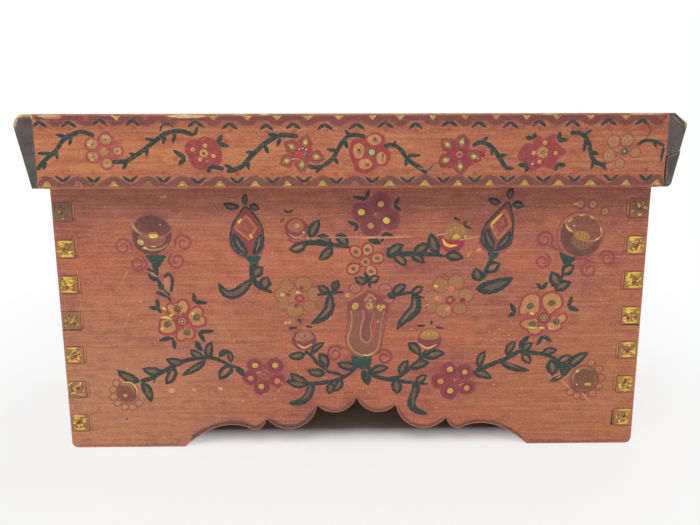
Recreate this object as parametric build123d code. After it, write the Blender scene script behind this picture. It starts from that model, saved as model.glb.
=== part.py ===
from build123d import *

import os

# Painted wooden box for papers and keepsakes, in millimetres.
# +Z is up and the painted front faces -Y. The origin is on the floor, under the middle of
# the closed box. Four boards are finger jointed round a nailed bottom, and a lid with
# three overhanging rails turns on two butt hinges along the back.

# Body boards
body_width = 320.0
body_depth = 200.0
body_height = 169.0
board = 12.0
finger_count = 17
glue_line = 0.05
foot_wear = 3.5

# Scalloped lower edge of the front board, as offsets from its middle and heights
apron_middle = 2.0
middle_cusp_height = 28.7
inner_cusp_offset = 22.3
inner_cusp_height = 24.2
inner_lobe_offset = 12.9
inner_lobe_height = 19.9
outer_cusp_offset = 51.3
outer_cusp_height = 16.5
outer_lobe_offset = 36.8
outer_lobe_height = 10.2
dip_turn_offset = 53.5
dip_turn_height = 11.7
dip_offset = 58.5
dip_height = 9.6
hump_offset = 75.0
hump_height = 12.5
slope_offset = 91.1
slope_height = 5.5
toe_offset = 98.0

# Bottom board, just above the highest cusp
bottom_cover = 1.3
bottom_thickness = 8.0
bottom_fit = 0.2

# Lid
lid_clearance = 0.5
lid_rest_gap = 0.3
lid_drop = 22.5
lid_back_overhang = 10.0
top_board = 14.2
front_rail = 9.5
side_rail_foot = 3.2
side_rail_top = 10.9
side_rail_round = 6.0

# Old damage on the right side rail: a chipped top corner and a broken corner glued back
chip_width = 7.9
chip_height = 6.5
chip_length = 42.0
crack_inner_height = 15.5
crack_outer_height = 19.8
glued_corner_length = 60.0
break_slant = 9.0
glued_corner_step = 0.7
glued_corner_wear = 2.5

# Nails
nail_radius = 0.8
nail_head_radius = 1.6
nail_head_thickness = 0.8
nail_point = 2.5
nail_tip_radius = 0.16
nail_set = 0.3
nail_play = 0.05
nail_grip = 14.0
long_side_nail_count = 5
short_side_nail_count = 3
wall_nail_margin = 58.0
rail_nail_margin = 42.0
rail_brad_count = 7
side_rail_nail_count = 4

# Butt hinges
hinge_length = 40.0
hinge_end_margin = 45.0
hinge_leaf = 1.1
knuckle_radius = 2.4
knuckle_count = 3
knuckle_gap = 0.2
barrel_stand_off = 0.6
pin_radius = 1.1
pin_play = 0.05
pin_head_radius = 1.8
pin_head_height = 0.8
leaf_inset = 0.9
mortise_play = 0.1
notch_play = 0.3

# Countersunk wood screws of the hinges
screw_count = 3
screw_end_margin = 6.5
screw_radius = 1.2
screw_head_radius = 2.35
screw_play = 0.05
screw_point = 2.0
screw_tip_radius = 0.24
screw_cover = 2.7
slot_width = 0.5
slot_depth = 0.45

# Places that follow from the sizes above
half_width = body_width / 2
half_depth = body_depth / 2
finger = body_height / finger_count
bottom_z = middle_cusp_height + bottom_cover
bottom_nail_z = bottom_z + bottom_thickness / 2
lid_inside = half_width + lid_clearance
lid_front = -(half_depth + lid_clearance + front_rail)
lid_rail_back = -(half_depth + lid_clearance)
lid_back = half_depth + lid_back_overhang
lid_bottom = body_height - lid_drop
lid_underside = body_height + lid_rest_gap
lid_top = lid_underside + top_board
lid_height = lid_top - lid_bottom
rail_nail_z = lid_underside + top_board / 2
hinge_y = half_depth + barrel_stand_off + knuckle_radius
hinge_z = body_height + lid_rest_gap / 2
hinge_offset = half_width - hinge_end_margin - hinge_length / 2
leaf_front = half_depth - board + leaf_inset
screw_y = half_depth - board / 2
screw_length = top_board - screw_cover
beyond = 5.0

left = -1
right = 1
down = (Align.CENTER, Align.CENTER, Align.MAX)


# Shapes used by several pieces

def block(x, y, z):
    """A rectangular block between the two ends given for each axis."""
    spans = (x, y, z)
    middle = [(low + high) / 2 for low, high in spans]
    return Pos(*middle) * Box(*[high - low for low, high in spans])


def mirrored_span(side, near, far):
    """The span from near to far on the right, or its mirror image on the left."""
    return tuple(sorted((side * near, side * far)))


def evenly(count, half_span):
    """Places spread evenly from -half_span to half_span."""
    return [half_span * (2 * n / (count - 1) - 1) for n in range(count)]


def finger_spans(first):
    """Heights of every other finger, starting with finger number first."""
    return [(n * finger, (n + 1) * finger) for n in range(first, finger_count, 2)]


def nail(length):
    """A nail pointing down, with the top of its head at the origin."""
    head = Cylinder(nail_head_radius, nail_head_thickness, align=down)
    shank = Cylinder(nail_radius, length - nail_point, align=down)
    tip = Pos(0, 0, nail_point - length) * Rot(180, 0, 0) * Cone(
        nail_radius, nail_tip_radius, nail_point, align=(Align.CENTER, Align.CENTER, Align.MIN)
    )
    return head + shank + tip


def nail_hole(length):
    """The hole that the nail sits in, open above its head."""
    pocket = Cylinder(
        nail_head_radius + nail_play, nail_head_thickness + beyond, align=down
    )
    shank = Cylinder(nail_radius + nail_play, length + nail_play, align=down)
    return Pos(0, 0, beyond) * pocket + shank


def screw(length):
    """A slotted countersunk screw pointing down, with the top of its head at the origin."""
    head = Pos(0, 0, -hinge_leaf) * Cone(
        screw_radius, screw_head_radius, hinge_leaf, align=(Align.CENTER, Align.CENTER, Align.MIN)
    )
    shank = Cylinder(screw_radius, length - screw_point, align=down)
    tip = Pos(0, 0, screw_point - length) * Rot(180, 0, 0) * Cone(
        screw_radius, screw_tip_radius, screw_point, align=(Align.CENTER, Align.CENTER, Align.MIN)
    )
    slot = Box(3 * screw_head_radius, slot_width, 2 * slot_depth)
    return head + shank + tip - slot


def screw_hole(length):
    """The countersunk hole for the screw, through its leaf and into the wood."""
    sink = Pos(0, 0, -hinge_leaf) * Cone(
        screw_radius + screw_play,
        screw_head_radius + screw_play,
        hinge_leaf,
        align=(Align.CENTER, Align.CENTER, Align.MIN),
    )
    shank = Cylinder(screw_radius + screw_play, length + screw_play, align=down)
    return sink + shank


def placed(shape, point, outward):
    """The shape with its own +Z turned to point outward from the given point."""
    return Plane(origin=point, z_dir=outward).location * shape


# Nail places: each is a head point, an outward direction and a length

def wall_nails():
    """Nails through the four walls into the edges of the bottom board, by wall."""
    reach = board - nail_set + nail_grip
    along_x = evenly(long_side_nail_count, half_width - wall_nail_margin)
    along_y = evenly(short_side_nail_count, half_depth - wall_nail_margin)
    face_y = half_depth - nail_set
    face_x = half_width - nail_set
    return {
        "front": [((x, -face_y, bottom_nail_z), (0, -1, 0), reach) for x in along_x],
        "back": [((x, face_y, bottom_nail_z), (0, 1, 0), reach) for x in along_x],
        "left": [((-face_x, y, bottom_nail_z), (-1, 0, 0), reach) for y in along_y],
        "right": [((face_x, y, bottom_nail_z), (1, 0, 0), reach) for y in along_y],
    }


def rail_thickness(height):
    """Thickness of a side rail at a height above its lower edge."""
    return side_rail_foot + (side_rail_top - side_rail_foot) * height / lid_height


def lid_nails():
    """Brads through the front rail and nails through the side rails, by rail."""
    front_reach = front_rail - nail_set + nail_grip
    brad_places = evenly(rail_brad_count, half_width - rail_nail_margin)
    front = [
        ((x, lid_front + nail_set, rail_nail_z), (0, -1, 0), front_reach) for x in brad_places
    ]
    thickness = rail_thickness(rail_nail_z - lid_bottom)
    side_reach = thickness - nail_set + nail_grip
    face_x = lid_inside + thickness - nail_set
    rail_middle = (lid_front + lid_rail_back) / 2
    along_y = [rail_middle] + evenly(side_rail_nail_count, half_depth - rail_nail_margin)
    sides = {
        name: [((side * face_x, y, rail_nail_z), (side, 0, 0), side_reach) for y in along_y]
        for name, side in (("left", left), ("right", right))
    }
    return {"front": front, **sides}


def with_nail_holes(shape, nails):
    """The shape with the holes of the given nails cut in it."""
    return shape - [placed(nail_hole(length), point, outward) for point, outward, length in nails]


def hinge_screws(lid_side):
    """Screw places of one leaf of each hinge, in the same form as the nails."""
    face_z = lid_underside if lid_side else body_height
    outward = (0, 0, -1) if lid_side else (0, 0, 1)
    spread = evenly(screw_count, hinge_length / 2 - screw_end_margin)
    return [
        ((side * hinge_offset + x, screw_y, face_z), outward, screw_length)
        for side in (left, right)
        for x in spread
    ]


def with_screw_holes(shape, screws):
    """The shape with the holes of the given screws cut in it."""
    return shape - [placed(screw_hole(length), point, outward) for point, outward, length in screws]


# Body

def apron_cut():
    """The space under the scalloped edge of the front board, cut through its thickness."""

    def half(side):
        def at(offset, height):
            return (apron_middle + side * offset, height)

        return [
            ThreePointArc(
                at(0, middle_cusp_height),
                at(inner_lobe_offset, inner_lobe_height),
                at(inner_cusp_offset, inner_cusp_height),
            ),
            ThreePointArc(
                at(inner_cusp_offset, inner_cusp_height),
                at(outer_lobe_offset, outer_lobe_height),
                at(outer_cusp_offset, outer_cusp_height),
            ),
            ThreePointArc(
                at(outer_cusp_offset, outer_cusp_height),
                at(dip_turn_offset, dip_turn_height),
                at(dip_offset, dip_height),
            ),
            Spline(
                at(dip_offset, dip_height),
                at(hump_offset, hump_height),
                at(slope_offset, slope_height),
                at(toe_offset, 0),
            ),
            Line(at(toe_offset, 0), at(toe_offset, -beyond)),
        ]

    floor = Line(
        (apron_middle - toe_offset, -beyond),
        (apron_middle + toe_offset, -beyond),
    )
    outline = Wire([*half(left), floor, *half(right)])
    face = Plane.XZ * Face(outline)
    return Pos(0, -half_depth, 0) * extrude(face, amount=board + beyond, both=True)


def end_board(side):
    """The front or back board, with the notches that the side fingers pass through."""
    y = mirrored_span(side, half_depth - board, half_depth)
    shape = block((-half_width, half_width), y, (0, body_height))
    worn = shape.edges().filter_by(Axis.Y).group_by(Axis.Z)[0]
    shape = fillet(worn, foot_wear)
    through = (y[0] - beyond, y[1] + beyond)
    corners = [
        mirrored_span(x_side, half_width - board - glue_line, half_width + beyond)
        for x_side in (left, right)
    ]
    return shape - [block(x, through, z) for x in corners for z in finger_spans(first=1)]


def front_board():
    """The painted front board, over its scalloped apron."""
    shape = end_board(left) - apron_cut()
    return with_nail_holes(shape, wall_nails()["front"])


def back_board():
    """The back board, let in along its top edge for the hinges."""
    shape = with_nail_holes(end_board(right), wall_nails()["back"])
    for side in (left, right):
        shape -= leaf_mortise(side, (body_height - hinge_leaf, body_height + beyond))
    return with_screw_holes(shape, hinge_screws(lid_side=False))


def side_board(side):
    """A side board, whose fingers show as painted squares at the front and back corners."""
    x = mirrored_span(side, half_width - board, half_width)
    shape = block(x, (-half_depth, half_depth), (0, body_height))
    through = (x[0] - beyond, x[1] + beyond)
    ends = [
        mirrored_span(y_side, half_depth - board - glue_line, half_depth + beyond)
        for y_side in (left, right)
    ]
    levels = [(low - glue_line, high + glue_line) for low, high in finger_spans(first=0)]
    shape -= [block(through, y, z) for y in ends for z in levels]
    return with_nail_holes(shape, wall_nails()["left" if side == left else "right"])


def bottom_board():
    """The bottom, held between the walls by nails into its edges."""
    half_x = half_width - board - bottom_fit
    half_y = half_depth - board - bottom_fit
    shape = block((-half_x, half_x), (-half_y, half_y), (bottom_z, bottom_z + bottom_thickness))
    nails = [nail_place for places in wall_nails().values() for nail_place in places]
    return with_nail_holes(shape, nails)


# Lid

def lid_top_board():
    """The top, between the three rails and over the hinges."""
    half_x = lid_inside - glue_line
    z = (lid_underside, lid_top)
    shape = block((-half_x, half_x), (lid_rail_back + glue_line, lid_back), z)
    nails = [nail_place for places in lid_nails().values() for nail_place in places]
    shape = with_nail_holes(shape, nails)
    for side in (left, right):
        shape -= leaf_mortise(side, (lid_underside - beyond, lid_underside + hinge_leaf))
        shape -= barrel_notch(side)
    return with_screw_holes(shape, hinge_screws(lid_side=True))


def lid_front_rail():
    """The painted front rail, between the ends of the side rails."""
    half_x = lid_inside - glue_line
    shape = block((-half_x, half_x), (lid_front, lid_rail_back), (lid_bottom, lid_top))
    nails = [nail_place for places in lid_nails().values() for nail_place in places]
    return with_nail_holes(shape, nails)


def whole_side_rail(side):
    """A side rail that is thinner at its lower edge, with a worn top corner."""
    profile = Polyline(
        (side * lid_inside, lid_bottom),
        (side * (lid_inside + side_rail_foot), lid_bottom),
        (side * (lid_inside + side_rail_top), lid_top),
        (side * lid_inside, lid_top),
        close=True,
    )
    face = Plane.XZ * Face(Wire(profile))
    length = lid_back - lid_front
    shape = Pos(0, lid_back, 0) * extrude(face, amount=length, dir=(0, -1, 0))
    outer_edges = shape.edges().filter_by(Axis.Y).group_by(Axis.Z)[-1]
    corner = outer_edges.sort_by(Axis.X)[-1 if side == right else 0]
    return fillet(corner, side_rail_round)


def glued_corner_space():
    """The part of the right rail's front end that broke off along the grain."""
    low = lid_bottom - beyond
    slope = (crack_outer_height - crack_inner_height) / side_rail_top
    inner_x = lid_inside - beyond
    outer_x = lid_inside + side_rail_top + beyond
    section = Polyline(
        (inner_x, low),
        (outer_x, low),
        (outer_x, lid_bottom + crack_outer_height + slope * beyond),
        (inner_x, lid_bottom + crack_inner_height - slope * beyond),
        close=True,
    )
    break_end = lid_front + glued_corner_length
    high = lid_bottom + crack_outer_height + slope * beyond + beyond
    lean = break_slant * (high - low) / crack_outer_height
    plan = Polyline(
        (lid_front - beyond, low),
        (break_end + lean / 2, low),
        (break_end - lean / 2, high),
        (lid_front - beyond, high),
        close=True,
    )
    across = extrude(Plane.XZ * Face(Wire(section)), amount=body_depth, both=True)
    along = extrude(Plane.YZ * Face(Wire(plan)), amount=body_width)
    return across & along


def chipped_corner():
    """The chip off the top front corner of the right rail, fading out along its length."""
    outer_x = lid_inside + side_rail_top
    outer = Vector(outer_x, lid_front, lid_top - chip_height)
    inner = Vector(outer_x - chip_width, lid_front, lid_top)
    far = Vector(outer_x, lid_front + chip_length, lid_top)
    normal = (inner - outer).cross(far - outer).normalized()
    if normal.Z < 0:
        normal = -normal
    plane = Plane(origin=outer, x_dir=(inner - outer), z_dir=normal)
    waste = Box(body_depth, body_depth, body_depth, align=(Align.CENTER, Align.CENTER, Align.MIN))
    return plane.location * waste


def lid_left_rail():
    """The left side rail, whose dark end shows at the front."""
    return with_nail_holes(whole_side_rail(left), lid_nails()["left"])


def lid_right_rail():
    """The right side rail, less its chip and its broken corner."""
    shape = whole_side_rail(right) - chipped_corner() - glued_corner_space()
    return with_nail_holes(shape, lid_nails()["right"])


def lid_right_rail_glued_corner():
    """The broken corner, glued back a little too far out."""
    shape = whole_side_rail(right) & glued_corner_space()
    outer_edges = shape.edges().filter_by(Axis.Y).group_by(Axis.Z)[0]
    shape = fillet(outer_edges.sort_by(Axis.X)[-1], glued_corner_wear)
    return Pos(glued_corner_step, 0, 0) * shape


# Hinges

def leaf_mortise(side, z):
    """The shallow recess for one leaf, open towards the back."""
    half = hinge_length / 2 + mortise_play
    middle = side * hinge_offset
    return block((middle - half, middle + half), (leaf_front - mortise_play, hinge_y), z)


def barrel_notch(side):
    """The notch in the lid's overhang that clears the hinge barrel and its pin heads."""
    half = hinge_length / 2 + pin_head_height + notch_play
    middle = side * hinge_offset
    y = (hinge_y - knuckle_radius - notch_play, lid_back + beyond)
    z = (lid_underside - beyond, hinge_z + knuckle_radius + notch_play)
    return block((middle - half, middle + half), y, z)


def along_hinge(radius, span):
    """A cylinder on the hinge axis between two X positions."""
    middle = ((span[0] + span[1]) / 2, hinge_y, hinge_z)
    return Pos(*middle) * Rot(0, 90, 0) * Cylinder(radius, span[1] - span[0])


def knuckle_spans(side, first):
    """X spans of the knuckles that belong to one leaf."""
    start = side * hinge_offset - hinge_length / 2
    pitch = hinge_length / knuckle_count
    return [(start + n * pitch, start + (n + 1) * pitch) for n in range(first, knuckle_count, 2)]


def hinge_leaf_piece(side, lid_side):
    """One leaf of a butt hinge with its knuckles, bored for the pin."""
    middle = side * hinge_offset
    low = lid_underside if lid_side else body_height - hinge_leaf
    leaf_x = (middle - hinge_length / 2, middle + hinge_length / 2)
    shape = block(leaf_x, (leaf_front, hinge_y), (low, low + hinge_leaf))
    own = knuckle_spans(side, first=1 if lid_side else 0)
    others = knuckle_spans(side, first=0 if lid_side else 1)
    room = knuckle_radius + notch_play
    for start, end in others:
        gap_x = (start - knuckle_gap / 2, end + knuckle_gap / 2)
        gap_y = (hinge_y - room, hinge_y + room)
        shape -= block(gap_x, gap_y, (hinge_z - room, hinge_z + room))
    for start, end in own:
        shape += along_hinge(knuckle_radius, (start + knuckle_gap / 2, end - knuckle_gap / 2))
    shape -= along_hinge(pin_radius + pin_play, (middle - hinge_length, middle + hinge_length))
    return with_screw_holes(shape, hinge_screws(lid_side))


def hinge_pin(side):
    """The hinge pin, headed at both ends."""
    middle = side * hinge_offset
    half = hinge_length / 2
    shape = along_hinge(pin_radius, (middle - half, middle + half))
    for end in (left, right):
        inner = middle + end * half
        outer = inner + end * pin_head_height
        shape += along_hinge(pin_head_radius, tuple(sorted((inner, outer))))
    return shape


# All the pieces, by name

def nail_group(nails):
    """A group of nails in their places."""
    return [placed(nail(length), point, outward) for point, outward, length in nails]


def screw_group(screws):
    """A group of screws in their places."""
    return [placed(screw(length), point, outward) for point, outward, length in screws]


pieces = {
    "front_board": [front_board()],
    "back_board": [back_board()],
    "left_side_board": [side_board(left)],
    "right_side_board": [side_board(right)],
    "bottom_board": [bottom_board()],
    "lid_top_board": [lid_top_board()],
    "lid_front_rail": [lid_front_rail()],
    "lid_left_rail": [lid_left_rail()],
    "lid_right_rail": [lid_right_rail()],
    "lid_right_rail_glued_corner": [lid_right_rail_glued_corner()],
    "lid_front_rail_brads": nail_group(lid_nails()["front"]),
    "lid_left_rail_nails": nail_group(lid_nails()["left"]),
    "lid_right_rail_nails": nail_group(lid_nails()["right"]),
    "hinge_body_screws": screw_group(hinge_screws(lid_side=False)),
    "hinge_lid_screws": screw_group(hinge_screws(lid_side=True)),
}
for wall, nails in wall_nails().items():
    pieces["bottom_nails_" + wall] = nail_group(nails)
for name, side in (("left", left), ("right", right)):
    pieces[name + "_hinge_body_leaf"] = [hinge_leaf_piece(side, lid_side=False)]
    pieces[name + "_hinge_lid_leaf"] = [hinge_leaf_piece(side, lid_side=True)]
    pieces[name + "_hinge_pin"] = [hinge_pin(side)]

os.makedirs("parts", exist_ok=True)
for node, shapes in pieces.items():
    solids = [solid for shape in shapes for solid in shape.solids()]
    whole = solids[0] if len(solids) == 1 else Compound(solids)
    export_step(whole, "parts/" + node + ".step")
    print(node, len(solids), "solids", round(sum(s.volume for s in solids)), "mm3")
print("hinge axis at y", hinge_y, "z", hinge_z)
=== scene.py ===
import math
import random

import bpy
from mathutils import Matrix, Vector


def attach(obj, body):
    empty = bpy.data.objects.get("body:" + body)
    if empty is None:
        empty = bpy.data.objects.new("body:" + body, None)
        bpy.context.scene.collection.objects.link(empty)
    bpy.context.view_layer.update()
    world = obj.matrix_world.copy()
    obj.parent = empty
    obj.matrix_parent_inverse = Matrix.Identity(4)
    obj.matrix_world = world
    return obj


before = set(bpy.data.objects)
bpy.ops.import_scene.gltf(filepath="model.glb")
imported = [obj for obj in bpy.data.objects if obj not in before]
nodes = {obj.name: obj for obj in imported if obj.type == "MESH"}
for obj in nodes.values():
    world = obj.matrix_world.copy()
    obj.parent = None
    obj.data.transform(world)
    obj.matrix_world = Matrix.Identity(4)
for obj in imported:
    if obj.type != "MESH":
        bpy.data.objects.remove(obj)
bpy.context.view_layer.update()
mm = 0.001

# The four walls of the body. Planed softwood boards, finger jointed and glued, brushed outside
# with a thin terracotta casein paint that has gone patchy, and painted shade makes it darker and
# mauve under the lid. Inside they are bare.

board = 12 * mm
half_width = 160 * mm
half_depth = 100 * mm
warm_patch = (-55 * mm, -half_depth, 112 * mm)
rub_radius = 0.9 * mm
brushed_depth = 0.12 * mm
weld_distance = 0.002 * mm
flat_angle, corner_angle = math.radians(0.5), math.radians(40)


def linear(code):
    """An sRGB hex colour as the linear RGBA that Blender uses."""
    shares = [int(code[place : place + 2], 16) / 255 for place in (1, 3, 5)]
    return [s / 12.92 if s <= 0.04045 else ((s + 0.055) / 1.055) ** 2.4 for s in shares] + [1]


def fill(tree, node, inputs):
    """Sets a node's inputs, each to a value or to another node's socket."""
    for name, value in inputs.items():
        if isinstance(value, bpy.types.NodeSocket):
            tree.links.new(value, node.inputs[name])
        else:
            node.inputs[name].default_value = value


def add(tree, kind, inputs=(), **settings):
    """Adds a shader node with its settings and inputs."""
    made = tree.nodes.new("ShaderNode" + kind)
    for name, value in settings.items():
        setattr(made, name, value)
    fill(tree, made, dict(inputs))
    return made


def new_finish(name):
    """An empty material, its Principled shader and its Object coordinates."""
    finish = bpy.data.materials.new(name)
    finish.use_nodes = True
    tree = finish.node_tree
    tree.nodes.clear()
    shader = add(tree, "BsdfPrincipled")
    add(tree, "OutputMaterial", {"Surface": shader.outputs[0]})
    place = add(tree, "TexCoord").outputs["Object"]
    return finish, tree, shader, place


def streaks(tree, place, along, length, pitch, detail=3, offset=0, wander=0):
    """Noise drawn out along the grain: length and pitch are the size of one streak."""
    scale = [1 / pitch, 1 / pitch, 1 / pitch]
    scale["xyz".index(along)] = 1 / length
    drawn = add(tree, "Mapping", {"Vector": place, "Scale": scale, "Location": (offset,) * 3})
    noise = {"Vector": drawn.outputs[0], "Scale": 1, "Detail": detail, "Distortion": wander}
    return add(tree, "TexNoise", noise).outputs["Fac"]


def share_of(tree, value, low, high, least=0, most=1):
    """The value's place between low and high, as a share from least to most."""
    span = {"Value": value, "From Min": low, "From Max": high, "To Min": least, "To Max": most}
    return add(tree, "MapRange", span).outputs[0]


def over(tree, share, under, upper):
    """The upper colour over the under one, by a share of 0 to 1."""
    return add(tree, "Mix", {0: share, 6: under, 7: upper}, data_type="RGBA").outputs[2]


def layered(tree, paint, layers):
    """Thin layers over a paint, each by a pattern between low and high up to its greatest share."""
    for pattern, low, high, most, colour in layers:
        paint = over(tree, share_of(tree, pattern, low, high, 0, most), paint, linear(colour))
    return paint


def maths(tree, operation, a, b=0, clamp=False):
    """One step of arithmetic, kept between 0 and 1 where clamp is set."""
    return add(tree, "Math", {0: a, 1: b}, operation=operation, use_clamp=clamp).outputs[0]


def measured(tree, operation, a, b):
    """The distance between two places, or the product of two directions."""
    return add(tree, "VectorMath", {0: a, 1: b}, operation=operation).outputs["Value"]


def worn_edge(tree, radius):
    """How far a corner has been rubbed: 0 on a flat face and up to 1 on an arris."""
    rounded = add(tree, "Bevel", {"Radius": radius}, samples=4).outputs[0]
    flat = add(tree, "NewGeometry").outputs["Normal"]
    return share_of(tree, measured(tree, "DOT_PRODUCT", rounded, flat), 0.995, 0.8)


def bare_softwood(tree, place, along):
    """Bare aged softwood: brown rings drawn out along the board, with darker pores."""
    rings = streaks(tree, place, along, 90 * mm, 2.2 * mm, 4)
    pores = streaks(tree, place, along, 9 * mm, 0.35 * mm, 2)
    pale, brown = linear("#C09468"), linear("#94643F")
    wood = over(tree, share_of(tree, rings, 0.35, 0.65), pale, brown)
    return over(tree, share_of(tree, pores, 0.56, 0.72, 0, 0.5), wood, linear("#6B4528"))


def terracotta_ground(tree, place, along="x"):
    """The walls' paint: mottled, redder in the middle, warmer at both sides, painted shade at the top."""
    axes = add(tree, "SeparateXYZ", {0: place}).outputs
    cloud = streaks(tree, place, along, 38 * mm, 24 * mm, 5, wander=0.4)
    mottle = streaks(tree, place, along, 7 * mm, 4.5 * mm, 6, offset=2, wander=0.4)
    grit = streaks(tree, place, along, 1.3 * mm, 0.9 * mm, 4, offset=9)
    grain = streaks(tree, place, along, 13 * mm, 1 * mm, 5, wander=0.4)
    fleck = streaks(tree, place, along, 1.3 * mm, 1 * mm, 2, offset=7)
    brushed = streaks(tree, place, along, 50 * mm, 1.3 * mm, 4, offset=13, wander=0.2)
    leftward = share_of(tree, axes["X"], -30 * mm, -130 * mm)
    rightward = share_of(tree, axes["X"], 50 * mm, 120 * mm)
    low = share_of(tree, axes["Z"], 105 * mm, 40 * mm)
    high = share_of(tree, axes["Z"], 118 * mm, 150 * mm)
    warm = share_of(tree, measured(tree, "DISTANCE", place, warm_patch), 75 * mm, 20 * mm, 0, 0.6)
    paint = over(tree, share_of(tree, cloud, 0.36, 0.64), linear("#CE7553"), linear("#AC5D50"))
    paint = over(tree, warm, paint, linear("#D47C55"))
    paint = over(tree, maths(tree, "MULTIPLY", leftward, low), paint, linear("#D08E68"))
    paint = over(tree, maths(tree, "MULTIPLY", rightward, low), paint, linear("#C67A4E"))
    # Painted shade: the top of the walls turns darker and mauve under the lid's overhang, lighter at the
    # left.
    paint = over(tree, high, paint, over(tree, leftward, linear("#A8655A"), linear("#B47868")))
    layers = (
        (mottle, 0.5, 0.72, 0.42, "#8E4F48"),
        (mottle, 0.48, 0.28, 0.34, "#DA926C"),
        (grain, 0.5, 0.72, 0.22, "#7E4640"),
        (grain, 0.46, 0.28, 0.25, "#D99672"),
        (brushed, 0.52, 0.7, 0.27, "#86473E"),
        (brushed, 0.48, 0.32, 0.36, "#DE9A74"),
        (grit, 0.5, 0.7, 0.27, "#7A443C"),
        (grit, 0.48, 0.3, 0.27, "#DE9C78"),
        (fleck, 0.645, 0.74, 0.75, "#EFC09A"),
        (fleck, 0.34, 0.25, 0.6, "#5E342E"),
    )
    return layered(tree, paint, layers)


def grain_relief(tree, place, along, depth):
    """The brushed grain as a bump, with ridges about a millimetre apart."""
    grain = streaks(tree, place, along, 30 * mm, 0.8 * mm, 3)
    return add(tree, "Bump", {"Height": grain, "Distance": depth, "Strength": 0.6}).outputs[0]


def painted_board(name, ground, along, inside):
    """A board painted by the ground function, worn at its corners and bare on its inner side.

    inside gives, from the separate axes, a share of 1 where the board was left bare.
    """
    finish, tree, shader, place = new_finish(name)
    axes = add(tree, "SeparateXYZ", {0: place}).outputs
    chipping = streaks(tree, place, along, 5 * mm, 1.5 * mm, 3, offset=3)
    chips = share_of(tree, chipping, 0.42, 0.62)
    rubbed = maths(tree, "MULTIPLY", worn_edge(tree, rub_radius), chips)
    skin = over(tree, rubbed, ground(tree, place, along), linear("#C89A6C"))
    bare = bare_softwood(tree, place, along)
    parts = {
        "Base Color": over(tree, inside(tree, axes), skin, bare),
        "Roughness": share_of(tree, chipping, 0.3, 0.7, 0.5, 0.68),
        "Normal": grain_relief(tree, place, along, brushed_depth),
    }
    fill(tree, shader, parts)
    return finish


def inner_side(axis, limit):
    """Bare where the board's own place on an axis is nearer the middle than the limit."""

    def share(tree, axes):
        distance = maths(tree, "ABSOLUTE", axes[axis])
        return share_of(tree, distance, limit + 0.3 * mm, limit + 0.1 * mm)

    return share


def eased(node, width):
    """Welds a board's mesh and eases its corners as a sanding block would."""
    made = nodes[node]
    made.modifiers.new("weld", "WELD").merge_threshold = weld_distance
    flat = made.modifiers.new("flat", "DECIMATE")
    flat.decimate_type = "DISSOLVE"
    flat.angle_limit = flat_angle
    edge = made.modifiers.new("edge", "BEVEL")
    edge.width = width
    edge.segments = 2
    edge.limit_method = "ANGLE"
    edge.angle_limit = corner_angle
    edge.harden_normals = True


def finished(node, finish):
    """Gives a node one finish all over."""
    mesh = nodes[node].data
    mesh.materials.clear()
    mesh.materials.append(finish)


long_wall = painted_board(
    "terracotta_painted_long_board", terracotta_ground, "x", inner_side("Y", half_depth - board)
)
short_wall = painted_board(
    "terracotta_painted_side_board", terracotta_ground, "y", inner_side("X", half_width - board)
)
walls = {
    "front_board": long_wall,
    "back_board": long_wall,
    "left_side_board": short_wall,
    "right_side_board": short_wall,
}
for wall, finish in walls.items():
    eased(wall, 0.3 * mm)
    finished(wall, finish)

# The bottom and its nails. An unpainted softwood board, held by cut iron nails driven through
# the walls into its edges.

finish, tree, shader, place = new_finish("bare_softwood_planed")
relief = grain_relief(tree, place, "x", 0.2 * mm)
planed = bare_softwood(tree, place, "x")
fill(tree, shader, {"Base Color": planed, "Normal": relief, "Roughness": 0.75})
eased("bottom_board", 0.4 * mm)
finished("bottom_board", finish)


def rusting_iron(name, clean, rust, share):
    """Forged or rolled iron with patches of brown rust, as dull as old hardware."""
    finish, tree, shader, place = new_finish(name)
    patches = streaks(tree, place, "x", 3 * mm, 3 * mm, 5)
    rusted = share_of(tree, patches, 0.62 - share / 2, 0.72 - share / 2)
    pits = add(tree, "Bump", {"Height": patches, "Distance": 0.1 * mm, "Strength": 0.5})
    parts = {
        "Base Color": over(tree, rusted, linear(clean), linear(rust)),
        "Metallic": share_of(tree, rusted, 0, 1, 1, 0.1),
        "Roughness": share_of(tree, rusted, 0, 1, 0.42, 0.85),
        "Normal": pits.outputs[0],
    }
    fill(tree, shader, parts)
    return finish


old_iron = rusting_iron("rusted_nail_iron", "#4B4542", "#5E3A28", 0.35)
old_steel = rusting_iron("dulled_screw_steel", "#8A857E", "#6B4A36", 0.1)
for wall in ("front", "back", "left", "right"):
    finished("bottom_nails_" + wall, old_iron)

# The two butt hinges, rolled from sheet iron round a steel pin and let in along the back edge,
# with slotted countersunk screws.

for side in ("left", "right"):
    finished(side + "_hinge_body_leaf", old_iron)
    finished(side + "_hinge_lid_leaf", old_iron)
    finished(side + "_hinge_pin", old_steel)
finished("hinge_body_screws", old_steel)
finished("hinge_lid_screws", old_steel)

# The lid: a softwood top with a painted front rail and two side rails, glued and nailed on.
# The front is a brighter orange than the walls, and the side rails are charcoal, rubbed bare
# along their rounded tops.

lid_underside = 169.3 * mm
lid_front = -110 * mm
rail_round_middle = (164 * mm, 0, 177.5 * mm)
chip_normal = (0.6483, -0.1219, 0.7879)
chip_reach = 263.99 * mm


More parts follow.
